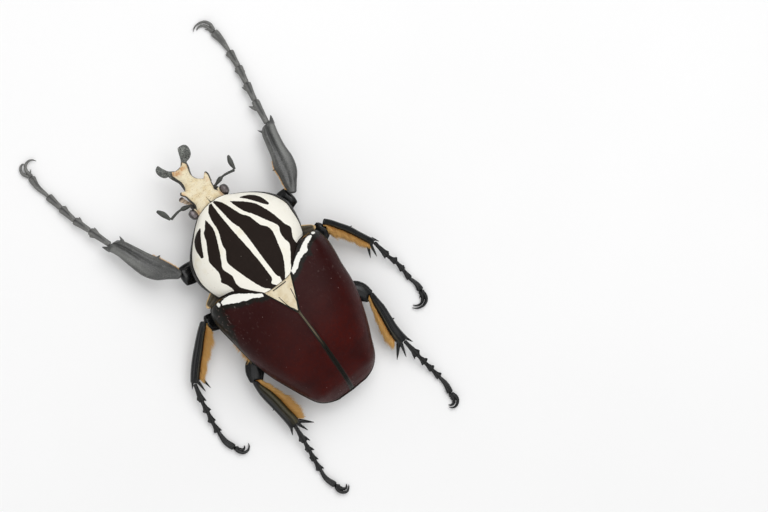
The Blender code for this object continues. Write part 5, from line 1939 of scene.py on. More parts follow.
FORE_LEVELS = ((0.0, 10.7), (0.12, 9.9), (0.5, 7.3), (1.0, 4.9))
MID_LEVELS = ((0.0, 9.6), (0.2, 8.2), (1.0, 3.8))
HIND_LEVELS = ((0.0, 8.6), (0.2, 7.3), (1.0, 3.9))
LEGS = (
    Leg(name="fore_right", kind=LegKind.DIGGER, hip=(-5.0, -27.2, 2.9), hip_size=(3.1, 2.5, 2.4),
        knee=(-21.5, -30.0, 8.4), thigh=6.2,
        shin=(((-20.8, -30.4), (-22.7, -29.3)), ((-20.9, -32.7), (-24.9, -31.9)),
              ((-21.6, -36.4), (-27.5, -35.1)), ((-22.1, -39.7), (-28.9, -39.0)),
              ((-23.6, -43.2), (-29.2, -43.4)), ((-24.6, -46.8), (-30.0, -47.8)),
              ((-25.7, -50.4), (-30.9, -51.0)), ((-27.2, -52.1), (-31.0, -52.6))), shin_levels=FORE_LEVELS,
        spurs=(((-26.6, -50.2), (-25.3, -52.3), 1.0), ((-30.2, -51.0), (-31.7, -53.8), 1.8),
               ((-22.6, -38.9), (-21.2, -39.3), 1.1)),
        foot=(((-29.2, -52.2), (-27.9, -60.0), (-31.2, -57.8)),
              ((-30.6, -60.4), (-29.9, -66.1), (-32.4, -63.6)),
              ((-31.9, -66.3), (-31.3, -71.6), (-33.9, -69.7)),
              ((-33.1, -72.1), (-32.2, -77.4), (-34.5, -75.1))),
        last=((-33.8, -77.6, 1.1), (-33.9, -81.8, 2.1), (-33.5, -85.5, 2.8)),
        claws=(((-33.9, -85.6), (-34.1, -87.8), (-33.2, -89.4), (-31.6, -90.1), (-29.7, -90.0),
                (-28.2, -88.9)),
               ((-33.1, -85.6), (-32.9, -87.4), (-32.2, -88.7), (-31.1, -89.2), (-30.2, -89.2),
                (-29.5, -88.7))),
        foot_width=2.8),
    Leg(name="fore_left", kind=LegKind.DIGGER, hip=(5.0, -27.2, 2.9), hip_size=(3.1, 2.5, 2.4),
        knee=(21.2, -29.7, 8.4), thigh=6.2,
        shin=(((20.1, -30.6), (22.0, -29.6)), ((20.5, -32.8), (24.8, -31.7)),
              ((21.6, -35.6), (28.0, -33.9)), ((23.0, -38.7), (30.3, -37.4)),
              ((24.8, -42.1), (31.6, -42.1)), ((26.5, -45.7), (32.7, -46.9)),
              ((28.3, -49.3), (34.0, -49.8)), ((29.8, -51.0), (34.2, -51.1))), shin_levels=FORE_LEVELS,
        spurs=(((28.6, -49.4), (28.5, -51.5), 1.0), ((33.2, -49.6), (34.8, -52.1), 1.8),
               ((23.6, -38.9), (22.1, -39.2), 1.1)),
        foot=(((32.3, -51.0), (32.9, -58.3), (35.8, -57.0)),
              ((34.7, -58.4), (34.6, -63.7), (37.2, -62.5)),
              ((36.5, -63.8), (35.9, -69.1), (38.3, -68.1)),
              ((37.5, -69.3), (37.2, -74.5), (39.3, -74.0))),
        last=((38.4, -74.6, 1.1), (39.3, -79.0, 1.8), (39.0, -82.6, 2.4)),
        claws=(((38.7, -82.8), (39.0, -84.9), (38.2, -86.4), (36.6, -86.9), (35.4, -86.4), (34.7, -85.4)),
               ((39.5, -82.8), (40.4, -84.6), (40.3, -86.0), (39.5, -87.0), (38.7, -87.2), (38.1, -86.7))),
        foot_width=2.7),
    Leg(name="mid_right", kind=LegKind.WALKER, hip=(-7.4, -8.6, 2.2), hip_size=(3.2, 2.4, 1.9),
        knee=(-24.1, -16.2, 7.3), thigh=5.6,
        shin=(((-23.2, -16.7), (-24.7, -18.1)), ((-24.7, -15.2), (-26.5, -16.3)),
              ((-26.3, -13.0), (-28.2, -14.0)), ((-28.2, -10.2), (-30.2, -11.2)),
              ((-29.8, -7.2), (-31.7, -8.2)), ((-31.3, -4.3), (-33.2, -5.3)),
              ((-32.5, -2.0), (-34.5, -3.1))), shin_levels=MID_LEVELS,
        spurs=(((-31.6, -3.4), (-29.6, 0.9), 1.2), ((-32.3, -2.8), (-31.6, 1.7), 1.1),
               ((-33.6, -4.2), (-35.1, -1.8), 1.0), ((-29.4, -11.0), (-31.0, -10.9), 0.9)),
        foot=(((-33.6, -2.6), (-33.3, 3.7), (-35.5, 2.7)), ((-34.5, 3.4), (-34.6, 6.7), (-36.7, 5.6)),
              ((-35.6, 6.5), (-34.9, 9.8), (-37.0, 9.1)), ((-36.0, 9.8), (-35.3, 13.3), (-36.9, 13.0))),
        last=((-36.1, 13.2, 1.1), (-36.8, 15.9, 1.6), (-36.6, 18.3, 2.2)),
        claws=(((-36.8, 18.4), (-36.8, 20.4), (-36.0, 21.9), (-34.3, 22.6), (-32.3, 22.1), (-30.9, 20.8)),
               ((-36.2, 18.4), (-35.9, 20.0), (-35.1, 21.2), (-33.9, 21.7), (-32.7, 21.3), (-31.8, 20.4))),
        foot_width=2.1,
        brush=((0.0, 0.2), (0.13, 0.4), (0.22, 1.7), (0.36, 2.9), (0.5, 2.4), (0.65, 2.0), (0.8, 1.9),
               (0.95, 1.3))),
    Leg(name="mid_left", kind=LegKind.WALKER, hip=(7.4, -8.6, 2.2), hip_size=(3.2, 2.4, 1.9),
        knee=(24.0, -13.9, 7.3), thigh=5.3,
        shin=(((23.2, -14.2), (24.6, -15.6)), ((24.6, -12.6), (26.4, -14.3)),
              ((26.3, -11.0), (28.2, -12.8)), ((29.1, -8.0), (31.3, -10.0)), ((31.8, -5.3), (34.0, -7.4)),
              ((34.4, -2.5), (36.6, -4.5)), ((36.3, -0.4), (38.3, -2.2))), shin_levels=MID_LEVELS,
        spurs=(((34.8, -2.0), (34.2, 3.0), 1.2), ((36.2, -1.2), (36.1, 2.9), 1.1),
               ((37.0, -2.8), (39.1, -0.2), 1.0), ((30.5, -9.4), (32.0, -9.5), 0.9)),
        foot=(((37.4, -1.2), (37.7, 5.3), (39.8, 3.5)), ((38.9, 4.6), (38.1, 8.3), (40.6, 7.5)),
              ((39.4, 8.2), (38.9, 11.8), (41.2, 10.8)), ((40.1, 11.6), (39.3, 15.4), (41.6, 14.7))),
        last=((40.4, 15.0, 1.1), (40.5, 18.8, 1.9), (39.4, 22.1, 2.1)),
        claws=(((39.4, 22.2), (39.0, 23.9), (38.0, 25.0), (36.7, 25.2), (35.6, 24.5), (35.1, 23.4)),
               ((38.9, 22.2), (38.6, 23.3), (38.0, 24.0), (37.3, 24.1), (36.8, 23.8), (36.6, 23.2))),
        foot_width=2.15,
        brush=((0.0, 0.1), (0.1, 0.3), (0.2, 1.7), (0.4, 3.0), (0.58, 2.3), (0.75, 1.9), (0.95, 1.7))),
    Leg(name="hind_right", kind=LegKind.WALKER, hip=(-8.2, 7.2, 2.6), hip_size=(4.0, 2.5, 2.1),
        knee=(-22.3, 10.4, 6.2), thigh=5.3,
        shin=(((-21.6, 9.6), (-23.3, 9.2)), ((-21.2, 12.0), (-23.6, 11.8)),
              ((-20.8, 15.2), (-23.9, 15.0)), ((-20.4, 18.8), (-23.7, 18.6)),
              ((-20.0, 22.0), (-23.5, 21.9)), ((-19.9, 25.2), (-23.7, 25.1)),
              ((-20.4, 27.7), (-24.1, 27.5))), shin_levels=HIND_LEVELS,
        spurs=(((-20.6, 27.0), (-17.0, 31.1), 1.4), ((-21.3, 27.4), (-19.9, 32.2), 1.2),
               ((-23.2, 26.6), (-24.6, 29.6), 1.1), ((-22.6, 19.4), (-24.3, 20.1), 0.9)),
        foot=(((-22.5, 27.6), (-21.7, 34.3), (-24.5, 33.1)),
              ((-23.3, 33.9), (-22.5, 37.3), (-25.1, 36.6)),
              ((-23.8, 37.1), (-23.4, 40.4), (-25.5, 39.7)),
              ((-24.3, 40.2), (-23.8, 43.7), (-26.0, 43.0))),
        last=((-24.8, 43.4, 1.1), (-25.1, 46.5, 1.7), (-24.5, 49.6, 2.1)),
        claws=(((-24.8, 49.8), (-25.3, 51.6), (-24.8, 53.0), (-23.6, 53.8), (-22.3, 53.6), (-21.4, 52.6)),
               ((-24.1, 49.8), (-24.3, 51.3), (-23.8, 52.4), (-23.0, 52.8), (-22.3, 52.6), (-21.9, 52.0))),
        foot_width=2.2, brush=((0.0, 0.6), (0.2, 0.9), (0.42, 1.6), (0.62, 2.1), (0.82, 2.3), (0.97, 2.3)),
        bend=(-18.6, 5.1, 5.6)),
    Leg(name="hind_left", kind=LegKind.WALKER, hip=(8.2, 7.2, 2.6), hip_size=(4.0, 2.5, 2.1),
        knee=(22.3, 10.2, 6.2), thigh=5.3,
        shin=(((21.6, 9.4), (23.3, 9.0)), ((21.1, 11.8), (23.6, 11.6)), ((20.0, 14.7), (23.6, 14.8)),
              ((19.3, 18.5), (23.1, 18.6)), ((19.0, 21.9), (22.7, 22.1)), ((18.5, 25.4), (22.4, 25.6)),
              ((18.6, 28.0), (22.4, 28.1))), shin_levels=HIND_LEVELS,
        spurs=(((18.8, 27.2), (15.0, 30.8), 1.4), ((19.6, 27.6), (18.1, 31.6), 1.2),
               ((21.6, 27.0), (23.0, 29.9), 1.1), ((21.6, 19.4), (23.4, 19.9), 0.9)),
        foot=(((20.6, 27.8), (19.5, 34.5), (22.4, 32.7)), ((21.2, 33.8), (20.2, 37.6), (22.6, 35.9)),
              ((21.6, 37.0), (20.9, 40.7), (23.0, 38.8)), ((22.1, 40.2), (21.2, 44.1), (23.5, 43.2))),
        last=((22.4, 43.7, 1.1), (22.6, 47.0, 1.6), (21.5, 50.5, 2.0)),
        claws=(((21.7, 50.6), (21.8, 52.2), (21.1, 53.5), (19.9, 54.1), (18.8, 53.6), (18.0, 52.6)),
               ((21.0, 50.6), (20.9, 51.9), (20.3, 52.8), (19.5, 53.1), (18.9, 52.7), (18.5, 52.1))),
        foot_width=2.15, brush=((0.0, 0.7), (0.2, 1.6), (0.42, 1.7), (0.62, 2.9), (0.82, 2.7), (0.97, 1.9)),
        bend=(18.4, 4.9, 5.6)),
)


# --- The trunk under the shell ---


@dataclass
class Trunk:
    """Flesh and plates under the shell: the three body rings, the hind body and its last plate."""

    chest_belly: Knots = ((-40.0, 8.2), (-36.0, 5.4), (-29.0, 4.2), (-22.0, 4.4), (-16.5, 6.2))
    breast_belly: Knots = ((-17.2, 5.0), (-13.0, 2.2), (-8.0, 0.0), (9.0, 0.0), (13.0, 0.5))
    tail_belly: Knots = ((13.1, 0.5), (18.0, 1.3), (23.0, 3.0), (27.4, 5.2), (29.4, 6.8))
    shoulder: Knots = ((-17.2, 0.42), (-14.0, 0.66), (-10.5, 0.9), (-6.0, 1.0), (13.0, 1.0))
    seams: tuple = (((2.0, 8.8), (19.0, 2.0)), ((3.2, 12.2), (17.0, 9.5)), ((9.5, -6.5), (18.5, -1.5)))
    inset: float = 1.6
    keel: float = 0.175
    slope: float = 1.1
    ring_grooves: tuple = (16.4, 18.9, 21.3, 23.5, 25.3)

    def under(self, dome: Dome, belly: Knots, across: Array, y: Array) -> Array:
        """Height of the keeled underside at a share across the trunk's half width.

        Args:
            dome: The shell above.
            belly: Height of the keel, as (y, z) knots.
            across: Shares of the half width, either way.
            y: Places along.

        Returns:
            The height.
        """
        low, bottom = spline(dome.margin, y), spline(belly, y)
        rise = np.clip((np.abs(across) - self.keel) / (1 - self.keel), 0, 1) ** self.slope
        return bottom + (low - bottom) * rise

    def rings(self, dome: Dome, belly: Knots, places: Array, inset: Array | float,
              squeeze: Array | float = 1.0, sides: int = 160) -> Array:
        """Closed rings of the trunk, under the shell above and keeled below.

        Args:
            dome: The shell above.
            belly: Height of the keel, as (y, z) knots.
            places: Where each ring stands along Y.
            inset: How far the trunk keeps inside the shell.
            squeeze: How much of that width it fills.
            sides: Points round each ring.

        Returns:
            Array of ring, place round the ring, and coordinate.
        """
        turn = 2 * math.pi * np.arange(sides) / sides
        y, a = np.meshgrid(places, turn, indexing="ij")
        inset = np.broadcast_to(inset, places.shape)[:, None]
        squeeze = np.broadcast_to(squeeze, places.shape)[:, None]
        across = np.cos(a)
        half = spline(dome.half, y) - inset
        low = spline(dome.margin, y)
        high = np.maximum(spline(dome.crest, y) - inset, low + 0.3)
        arch = (1 - np.abs(across) ** dome.power) ** (1 / dome.power)
        z = np.where(np.sin(a) >= 0, low + (high - low) * arch, self.under(dome, belly, across, y))
        return np.stack([across * half * squeeze, y, np.maximum(z, 0.0)], -1)

    @staticmethod
    def carved_and_shaded(points: Array, legs: Sequence[Leg], clearance: float = 0.22) -> tuple[Array, Array]:
        """Carves the grooves that the hips and thighs lie in, and gives the painted shade round them.

        Args:
            points: The trunk's points.
            legs: The legs that lie against it.
            clearance: The gap left round them.

        Returns:
            The carved points, and how deep in a groove each one is, 0 to 1.
        """
        carved = points.copy()
        shade = np.zeros(points.shape[:-1])
        for leg in legs:
            knots = [(0.0, 0.5), (0.35, 0.84), (0.7, 0.78), (1.0, 0.5)]
            shares = np.linspace(0, 1, 40)
            balls = [(np.array(leg.hip), leg.hip_size[0] * 0.86, leg.hip_size[2])]
            balls += [(along(leg.thigh_path(), s), spline(((0.0, 0.5), (0.35, 1.0), (1.0, 0.5)), s)
                       * leg.thigh / 2, spline(knots, s) * leg.thigh / 2) for s in shares]
            for centre, wide, deep in balls:
                gap = np.hypot(points[..., 0] - centre[0], points[..., 1] - centre[1])
                share = gap / (wide + clearance)
                ceiling = centre[2] + (deep + clearance) * np.sqrt(np.clip(1 - share ** 2, 0, 1))
                under = (share < 1) & (carved[..., 2] < ceiling) & (points[..., 2] < centre[2] + 7)
                carved[..., 2] = np.where(under, ceiling, carved[..., 2])
                # Painted shade round and under each hip and thigh.
                shade = np.maximum(shade, np.where(points[..., 2] < centre[2] + 7,
                                                   smooth(1.25, 0.95, share), 0.0))
        return carved, shade

    def build(self) -> None:
        """Makes the three rings, the last plate and the hair."""
        self.chest()
        self.breast()
        self.abdomen()
        self.tail()
        self.hair()

    def piece(self, name: str, shape: Shape, node: str) -> None:
        """Adds one part of the trunk."""
        add_piece(name, shape, BREAST, "breast_dark", node)

    def chest(self) -> None:
        """The prosternum, with a peg between the hips of the fore legs."""
        y = np.linspace(-38.9, -17.6, 90)
        rings = self.rings(SHIELD, self.chest_belly, y, self.inset + 0.4 * smooth(-37.6, -38.4, y))
        under = smooth(9.0, 7.0, rings[..., 2])
        peg = 1.6 * hump(0.0, 1.5, rings[..., 0]) * hump(-22.5, 1.8, rings[..., 1]) * under
        rings[..., 2] -= np.minimum(peg, rings[..., 2] - 0.3)
        carved, shade = self.carved_and_shaded(rings, LEGS[:2])
        x, low = np.abs(rings[..., 0]), smooth(10.0, 7.0, rings[..., 2])
        seams = np.maximum(self.line(x, rings[..., 1], (1.2, -33.5), (12.5, -34.6), 0.2),
                           self.line(x, rings[..., 1], (3.2, -23.2), (14.5, -20.6), 0.2)) * low
        carved[..., 2] += 0.25 * seams
        # The dark groove value here is painted shade round the fore legs, with the seams.
        values = {"groove": np.clip(0.7 * shade + seams, 0, 1)}
        self.piece("prosternum_ring", tube(carved, values), "prosternum")

    def breast(self) -> None:
        """The metathorax, keeled and parted into plates below."""
        y = np.linspace(-17.2, 12.8, 130)
        rings = self.rings(WINGS, self.breast_belly, y, self.inset + 2.4 * smooth(-8.0, -11.4, y),
                           spline(self.shoulder, y))
        x, z = np.abs(rings[..., 0]), rings[..., 2]
        below = smooth(9.0, 6.5, z)
        plates = hump(0.0, 0.22, rings[..., 0]) * smooth(-9.0, -7.0, rings[..., 1])
        for start, end in self.seams:
            plates = np.maximum(plates, self.line(x, rings[..., 1], start, end, 0.25))
        plates *= below
        knob = 0.9 * hump(0.0, 1.7, rings[..., 0]) * hump(-11.5, 1.8, rings[..., 1]) * below
        rings[..., 2] += 0.28 * plates - np.minimum(knob, np.maximum(z - 0.3, 0))
        carved, shade = self.carved_and_shaded(rings, LEGS[2:])
        # The dark groove value here is the plates' seams, with painted shade round the mid and hind legs.
        values = {"groove": np.clip(plates + 0.7 * shade, 0, 1), "rust": 0.2 * smooth(9.0, 15.0, x) * below}
        self.piece("breast_plates", tube(carved, values), "metathorax")

    def abdomen(self) -> None:
        """The hind body, with a step and a groove between each two of its rings."""
        rings = self.rings(WINGS, self.tail_belly, np.linspace(13.1, 26.6, 110), self.inset)
        bent = rings[..., 1] + 0.012 * rings[..., 0] ** 2
        low = smooth(10.5, 8.5, rings[..., 2])
        step, groove = np.zeros(bent.shape), np.zeros(bent.shape)
        for place in self.ring_grooves:
            step += np.where((bent < place) & (bent > place - 2.3), (bent - place + 2.3) / 2.3, 0.0)
            groove = np.maximum(groove, hump(place + 0.12, 0.16, bent))
        rings[..., 2] -= 0.24 * step * low
        self.piece("abdomen_rings", tube(rings, {"groove": groove * low, "rust": 0.3 * low}), "abdomen")

    def tail(self) -> None:
        """The pygidium, which closes the hind body."""
        y = np.linspace(26.9, 28.7, 24)
        rings = self.rings(WINGS, self.tail_belly, y, self.inset + 0.6 * (y - 26.0), sides=120)
        cap = np.sqrt(np.clip(1 - np.clip((y - 27.6) / 1.3, 0, 1) ** 2, 0.1, 1))[:, None, None]
        centre = rings.mean(1, keepdims=True)
        self.piece("pygidium_plate", tube(centre + (rings - centre) * cap), "pygidium")

    @staticmethod
    def line(x: Array, y: Array, start: tuple, end: tuple, width: float) -> Array:
        """A soft line in plan between two places.

        Args:
            x: Places across.
            y: Places along.
            start: The line's first end.
            end: Its other end.
            width: How wide it is.

        Returns:
            1 on the line, near 0 beside it.
        """
        dx, dy = end[0] - start[0], end[1] - start[1]
        t = np.clip(((x - start[0]) * dx + (y - start[1]) * dy) / (dx * dx + dy * dy), 0, 1)
        return hump(0.0, width, np.hypot(x - start[0] - dx * t, y - start[1] - dy * t))

    def hair(self) -> None:
        """Hair under the breast and chest, and at the left margin, where it peeps out."""
        rng = np.random.default_rng(7)
        plain = ((-17.2, 5.0), (-8.0, 0.0), (9.0, 0.0), (13.0, 0.5))
        coats = (("breast_hair", WINGS, plain, (-9.0, 10.0), 900),
                 ("chest_hair", SHIELD, self.chest_belly, (-37.5, -19.0), 700))
        for name, dome, belly, reach, count in coats:
            y = rng.uniform(*reach, count)
            across = rng.uniform(0.5, 0.99, count) ** 0.6 * rng.choice((-1.0, 1.0), count)
            half = spline(dome.half, y) - self.inset
            root = np.stack([across * half, y, self.under(dome, belly, across, y) - 0.05], -1)
            lean = np.stack([np.sign(across) * rng.uniform(0.5, 1.1, count), rng.uniform(0.5, 1.2, count),
                             -rng.uniform(0.2, 0.7, count)], -1)
            unwrap = np.stack([0.5 + 0.48 * across, (y - reach[0]) / (reach[1] - reach[0])], -1)
            tufts = Tufts(root, lean * 1.05, unwrap, hairs=4, width=0.07, spread=0.18, seed=len(name))
            add_piece(name, tufts.shape(), PALE_HAIR, "fringe_gold")
        count = 120
        y = rng.uniform(-3.9, 2.7, count)
        height = spline(WINGS.margin, y) - rng.uniform(0.7, 1.2, count)
        root = np.stack([spline(WINGS.half, y) - 1.75, y, height], -1)
        lean = np.stack([rng.uniform(1.7, 2.7, count), rng.uniform(0.4, 1.3, count),
                         -rng.uniform(0.1, 0.4, count)], -1)
        unwrap = np.stack([0.97 + 0 * y, (y + 4) / 8], -1)
        tufts = Tufts(root, lean, unwrap, hairs=5, width=0.07, spread=0.16, seed=17)
        add_piece("margin_hair", tufts.shape(), HAIR, "fringe_gold")


@dataclass
class Flank:
    """The olive plate with golden rims between the shield's corner and the wing case's shoulder."""

    side: Side
    edges: Pairs = (((14.2, -21.2), (13.6, -16.9)), ((16.4, -21.2), (15.6, -17.0)),
                    ((18.3, -20.1), (17.7, -16.85)), ((19.8, -19.1), (19.2, -16.75)),
                    ((21.0, -17.9), (20.7, -17.0)))

    @staticmethod
    def ridge(across: Array, place: Array) -> Array:
        """The share cut from the plate's top: a hollow inside its outer ridge."""
        return 0.35 * hump(0.1, 0.4, across) - 0.2 * hump(0.7, 0.14, across)

    def build(self) -> None:
        """Makes the plate, its ridge and the tufts along its rear rim."""
        k = self.side.value
        pairs = sided(self.edges, self.side)
        plate = ribbon(pairs, ((0, 11.0), (0.5, 12.3), (1, 13.0)), ((0, 2.4), (0.6, 2.0), (1, 1.1)),
                       60, 70, (0.1, 0.1), self.ridge)
        across, place = plate.values["turn"], plate.values["place"]
        plate.values["rust"] = np.clip(smooth(0.72, 0.9, np.abs(across)) + smooth(0.82, 0.95, place), 0, 1)
        plate.values["groove"] = 0.8 * hump(0.45, 0.12, across) * smooth(0.95, 0.8, place)
        add_piece("flank_plate_" + self.side.word, plate, FLANK, "flange_brown",
                  "mesepimeron_" + self.side.word)
        rng = np.random.default_rng(21 + k)
        count = 46
        share = rng.uniform(0.2, 0.8, count)
        root = along([(*pair[1], 12.3 + 0.5 * i / 4) for i, pair in enumerate(pairs)], share)
        root += rng.normal(size=(count, 3)) * (0.2, 0.15, 0.1)
        lean = np.stack([k * rng.uniform(0.3, 1.0, count), -rng.uniform(-0.1, 0.5, count),
                         rng.uniform(0.0, 0.3, count)], -1) * 0.5
        unwrap = np.stack([share, rng.uniform(0.2, 0.8, count)], -1)
        tufts = Tufts(root, lean, unwrap, hairs=6, width=0.06, spread=0.1, seed=31 + k)
        add_piece("flank_hair_" + self.side.word, tufts.shape(), HAIR, "fringe_gold")


# --- The legs ---


def cone(root: Array, tip: Array, thick: float, fine: float, bend: Array | float = 0.0) -> Shape:
    """A spine or blunt tooth from its root to its tip.

    Args:
        root: Where the spine starts.
        tip: Where it ends.
        thick: Its root's thickness.
        fine: Its tip's thickness.
        bend: How far its middle is moved.

    Returns:
        The spine.
    """
    middle = (root + tip) / 2 + bend
    sizes = ((0, thick), (0.5, thick * 0.62 + fine * 0.38), (1, fine))
    return sweep([root, middle, tip], sizes, sizes, 14, 20, (0.05, 0.08))


@dataclass
class LegBuilder:
    """Builds one leg: hip, thigh, shin with its teeth, brush, five-jointed foot and claws."""

    leg: Leg
    voxel: float = 0.14
    foot_levels: tuple = (4.3, 3.2, 2.35, 1.6, 1.0)
    claw_levels: Knots = ((0.0, 0.95), (0.45, 0.85), (1.0, 0.45))
    comb: float = 1.25
    floor_gap: float = 0.1

    @property
    def digger(self) -> bool:
        """Whether this is a fore leg."""
        return self.leg.kind is LegKind.DIGGER

    @property
    def furrow(self) -> float:
        """Where across the shin its furrow runs, from -1 inside to 1 outside."""
        return -0.16 if self.digger else -0.12

    def add(self, part: str, shape: Shape, node: str) -> None:
        """Adds one part of the leg.

        Args:
            part: The part's name.
            shape: Its mesh.
            node: The frame's solid that it stands for, without the leg's name.
        """
        finish = WALKER
        if self.digger and part not in ("hip", "thigh"):
            finish = DIGGER if part == "shin" else DIGGER_FOOT
        name = self.leg.name
        add_piece(f"{part}_{name}", shape, finish, self.leg.kind.value, f"{node}_{name}")

    def build(self) -> None:
        """Makes every part of the leg."""
        self.hip()
        self.thigh()
        self.shin()
        self.foot()
        self.claws()
        if self.digger:
            self.short_fringe()
        else:
            self.brush()

    def hip(self) -> None:
        """The coxa: a rounded joint with a shallow ring."""
        hip, out = np.array(self.leg.hip), self.leg.outward
        long, wide, deep = self.leg.hip_size
        a, b = hip - out * long, hip + out * (long + 0.5)
        widths = ((0, 2.4), (0.35, wide * 2), (0.75, wide * 1.8), (1, 2.4))
        depths = ((0, 2.2), (0.4, deep * 2), (0.8, deep * 1.7), (1, 2.0))
        shape = sweep([a, (a + b) / 2, b], widths, depths, 40, 44, (0.35, 0.15))
        shape.values["groove"] = 0.8 * hump(0.84, 0.025, shape.values["place"])
        self.add("hip", shape.above(self.floor_gap), "coxa")

    def thigh(self) -> None:
        """The femur: a swollen thigh with ridges along both sides and a blunt knee end."""
        leg = self.leg
        start, blunt = (0.5, 0.8) if self.digger else (0.55, 0.62 if leg.bend else 0.8)
        widths = scaled(leg.thigh, (0, start), (0.15, 0.78), (0.45, 0.97), (0.75, 1.0),
                        (0.94, blunt + 0.1), (1, blunt))
        depths = scaled(leg.thigh, (0, 0.5), (0.35, 0.84), (0.7, 0.7), (0.9, 0.5), (1, 0.32))

        def ridged(angle: Array, share: Array) -> tuple[Array, Array]:
            """The thigh's section, with a ridge along each side.

            Args:
                angle: Places round the ring.
                share: Places along the limb.

            Returns:
                The ring's reach sideways and upwards.
            """
            c, s = np.cos(angle), np.sin(angle)
            ridge = 1 + 0.1 * hump(1.0, 0.12, np.abs(c)) - 0.07 * hump(0.82, 0.08, np.abs(c))
            return c * ridge, s * (1 - 0.07 * hump(0.15, 0.22, c) * (s > 0))
        shape = sweep(leg.thigh_path(), widths, depths, 72, 120, (0.08, 0.05), ridged)
        shape.values["groove"] = 0.5 * hump(0.82, 0.05, np.abs(shape.values["turn"]))
        self.add("thigh", shape.above(self.floor_gap), "femur")

    def shin(self) -> None:
        """The tibia with its furrow, edge ridges, teeth and spurs."""
        leg = self.leg
        furrow = self.furrow

        def carve(across: Array, place: Array) -> Array:
            """The share cut from the shin's top by the furrow and the ridges beside it.

            Args:
                across: Places from -1 inside to 1 outside.
                place: Places along the shin.

            Returns:
                The share that is cut.
            """
            ends = smooth(0.06, 0.2, place) * smooth(1.0, 0.92, place)
            deep = 0.1 + 0.3 * smooth(0.4, 0.8, place) if self.digger else 0.26
            cut = deep * hump(furrow, 0.15, across) - 0.1 * hump(furrow - 0.42, 0.16, across)
            return (cut - 0.1 * hump(0.3 if self.digger else 0.62, 0.24, across)) * ends
        depths = ((0, 2.2), (0.15, 2.8), (0.5, 3.0), (0.9, 2.6), (1, 1.8)) if self.digger else \
            ((0, 2.0), (0.2, 2.4), (0.6, 2.6), (0.9, 2.8), (1, 2.0))
        body = ribbon(leg.shin, leg.shin_levels, depths, 84, 140, (0.03, 0.025), carve)
        parts = [body]
        for root, tip, thick in leg.spurs:
            start, point = np.array((*root, 0.0)), np.array((*tip, 0.0))
            level = spline(leg.shin_levels, self.across(start[None])[1][0])
            start[2], point[2] = level + (0.2 if self.digger else 0.0), level - 0.5
            parts.append(cone(start, point, thick, 0.16))
        skin = fused(parts, self.voxel, 2)
        skin.values = self.shin_values(skin.points)
        self.add("shin", skin, "tibia")

    def shin_values(self, points: Array) -> dict[str, Array]:
        """Where the shin is furrowed or darker, and where it is tinted: olive streaks on the mid and hind
        shins, painted highlight bands on the fore shins.

        Args:
            points: Points of the shin.

        Returns:
            The values groove and rust.
        """
        leg, furrow = self.leg, self.furrow
        across, place = self.across(points)
        top = smooth(0.2, 0.8, points[:, 2] - spline(leg.shin_levels, place))
        inside = smooth(0.06, 0.2, place) * smooth(0.98, 0.92, place)
        groove = hump(furrow, 0.13, across) * inside * (smooth(0.3, 0.8, place) if self.digger else 1.0)
        streak = hump(-0.55, 0.14 + 0.05 * np.sin(place * 26), across) * inside
        rust = 0.5 * hump(-0.35, 0.5, across) * inside if leg.name == "hind_left" else 0.22 * streak
        if self.digger:
            # On the fore shins the tint is a painted highlight: a pale band along the outer half and one
            # along the inner edge.
            rust = 0.45 * np.maximum(hump(0.5, 0.26, across), 0.7 * hump(-0.75, 0.14, across)) * inside
            rust = rust * smooth(0.2, 0.6, place)
            # The fore shin is painted darker towards the knee.
            groove = np.maximum(groove, 0.4 * smooth(0.6, 0.2, place))
        return {"groove": 0.85 * groove * top, "rust": rust * top}

    def across(self, points: Array) -> tuple[Array, Array]:
        """The place across, -1 inner to 1 outer, and along the shin of points on it.

        Args:
            points: Points of the shin.

        Returns:
            The places across and along.
        """
        shares = np.linspace(0, 1, 120)
        inner, outer = (along(flat(edge), shares)[:, :2] for edge in zip(*self.leg.shin))
        middle = (inner + outer) / 2
        nearest = np.argmin(((points[:, None, :2] - middle) ** 2).sum(-1), 1)
        half = (outer - inner)[nearest] / 2
        found = ((points[:, :2] - middle[nearest]) * half).sum(-1) / (half ** 2).sum(-1)
        return found, shares[nearest]

    def foot(self) -> None:
        """The tarsus: five joints that flare to their far ends and carry spines inside."""
        leg = self.leg
        wide = leg.foot_width
        last = leg.last
        starts = [joint[0] for joint in leg.foot] + [last[0][:2]]
        parts = []

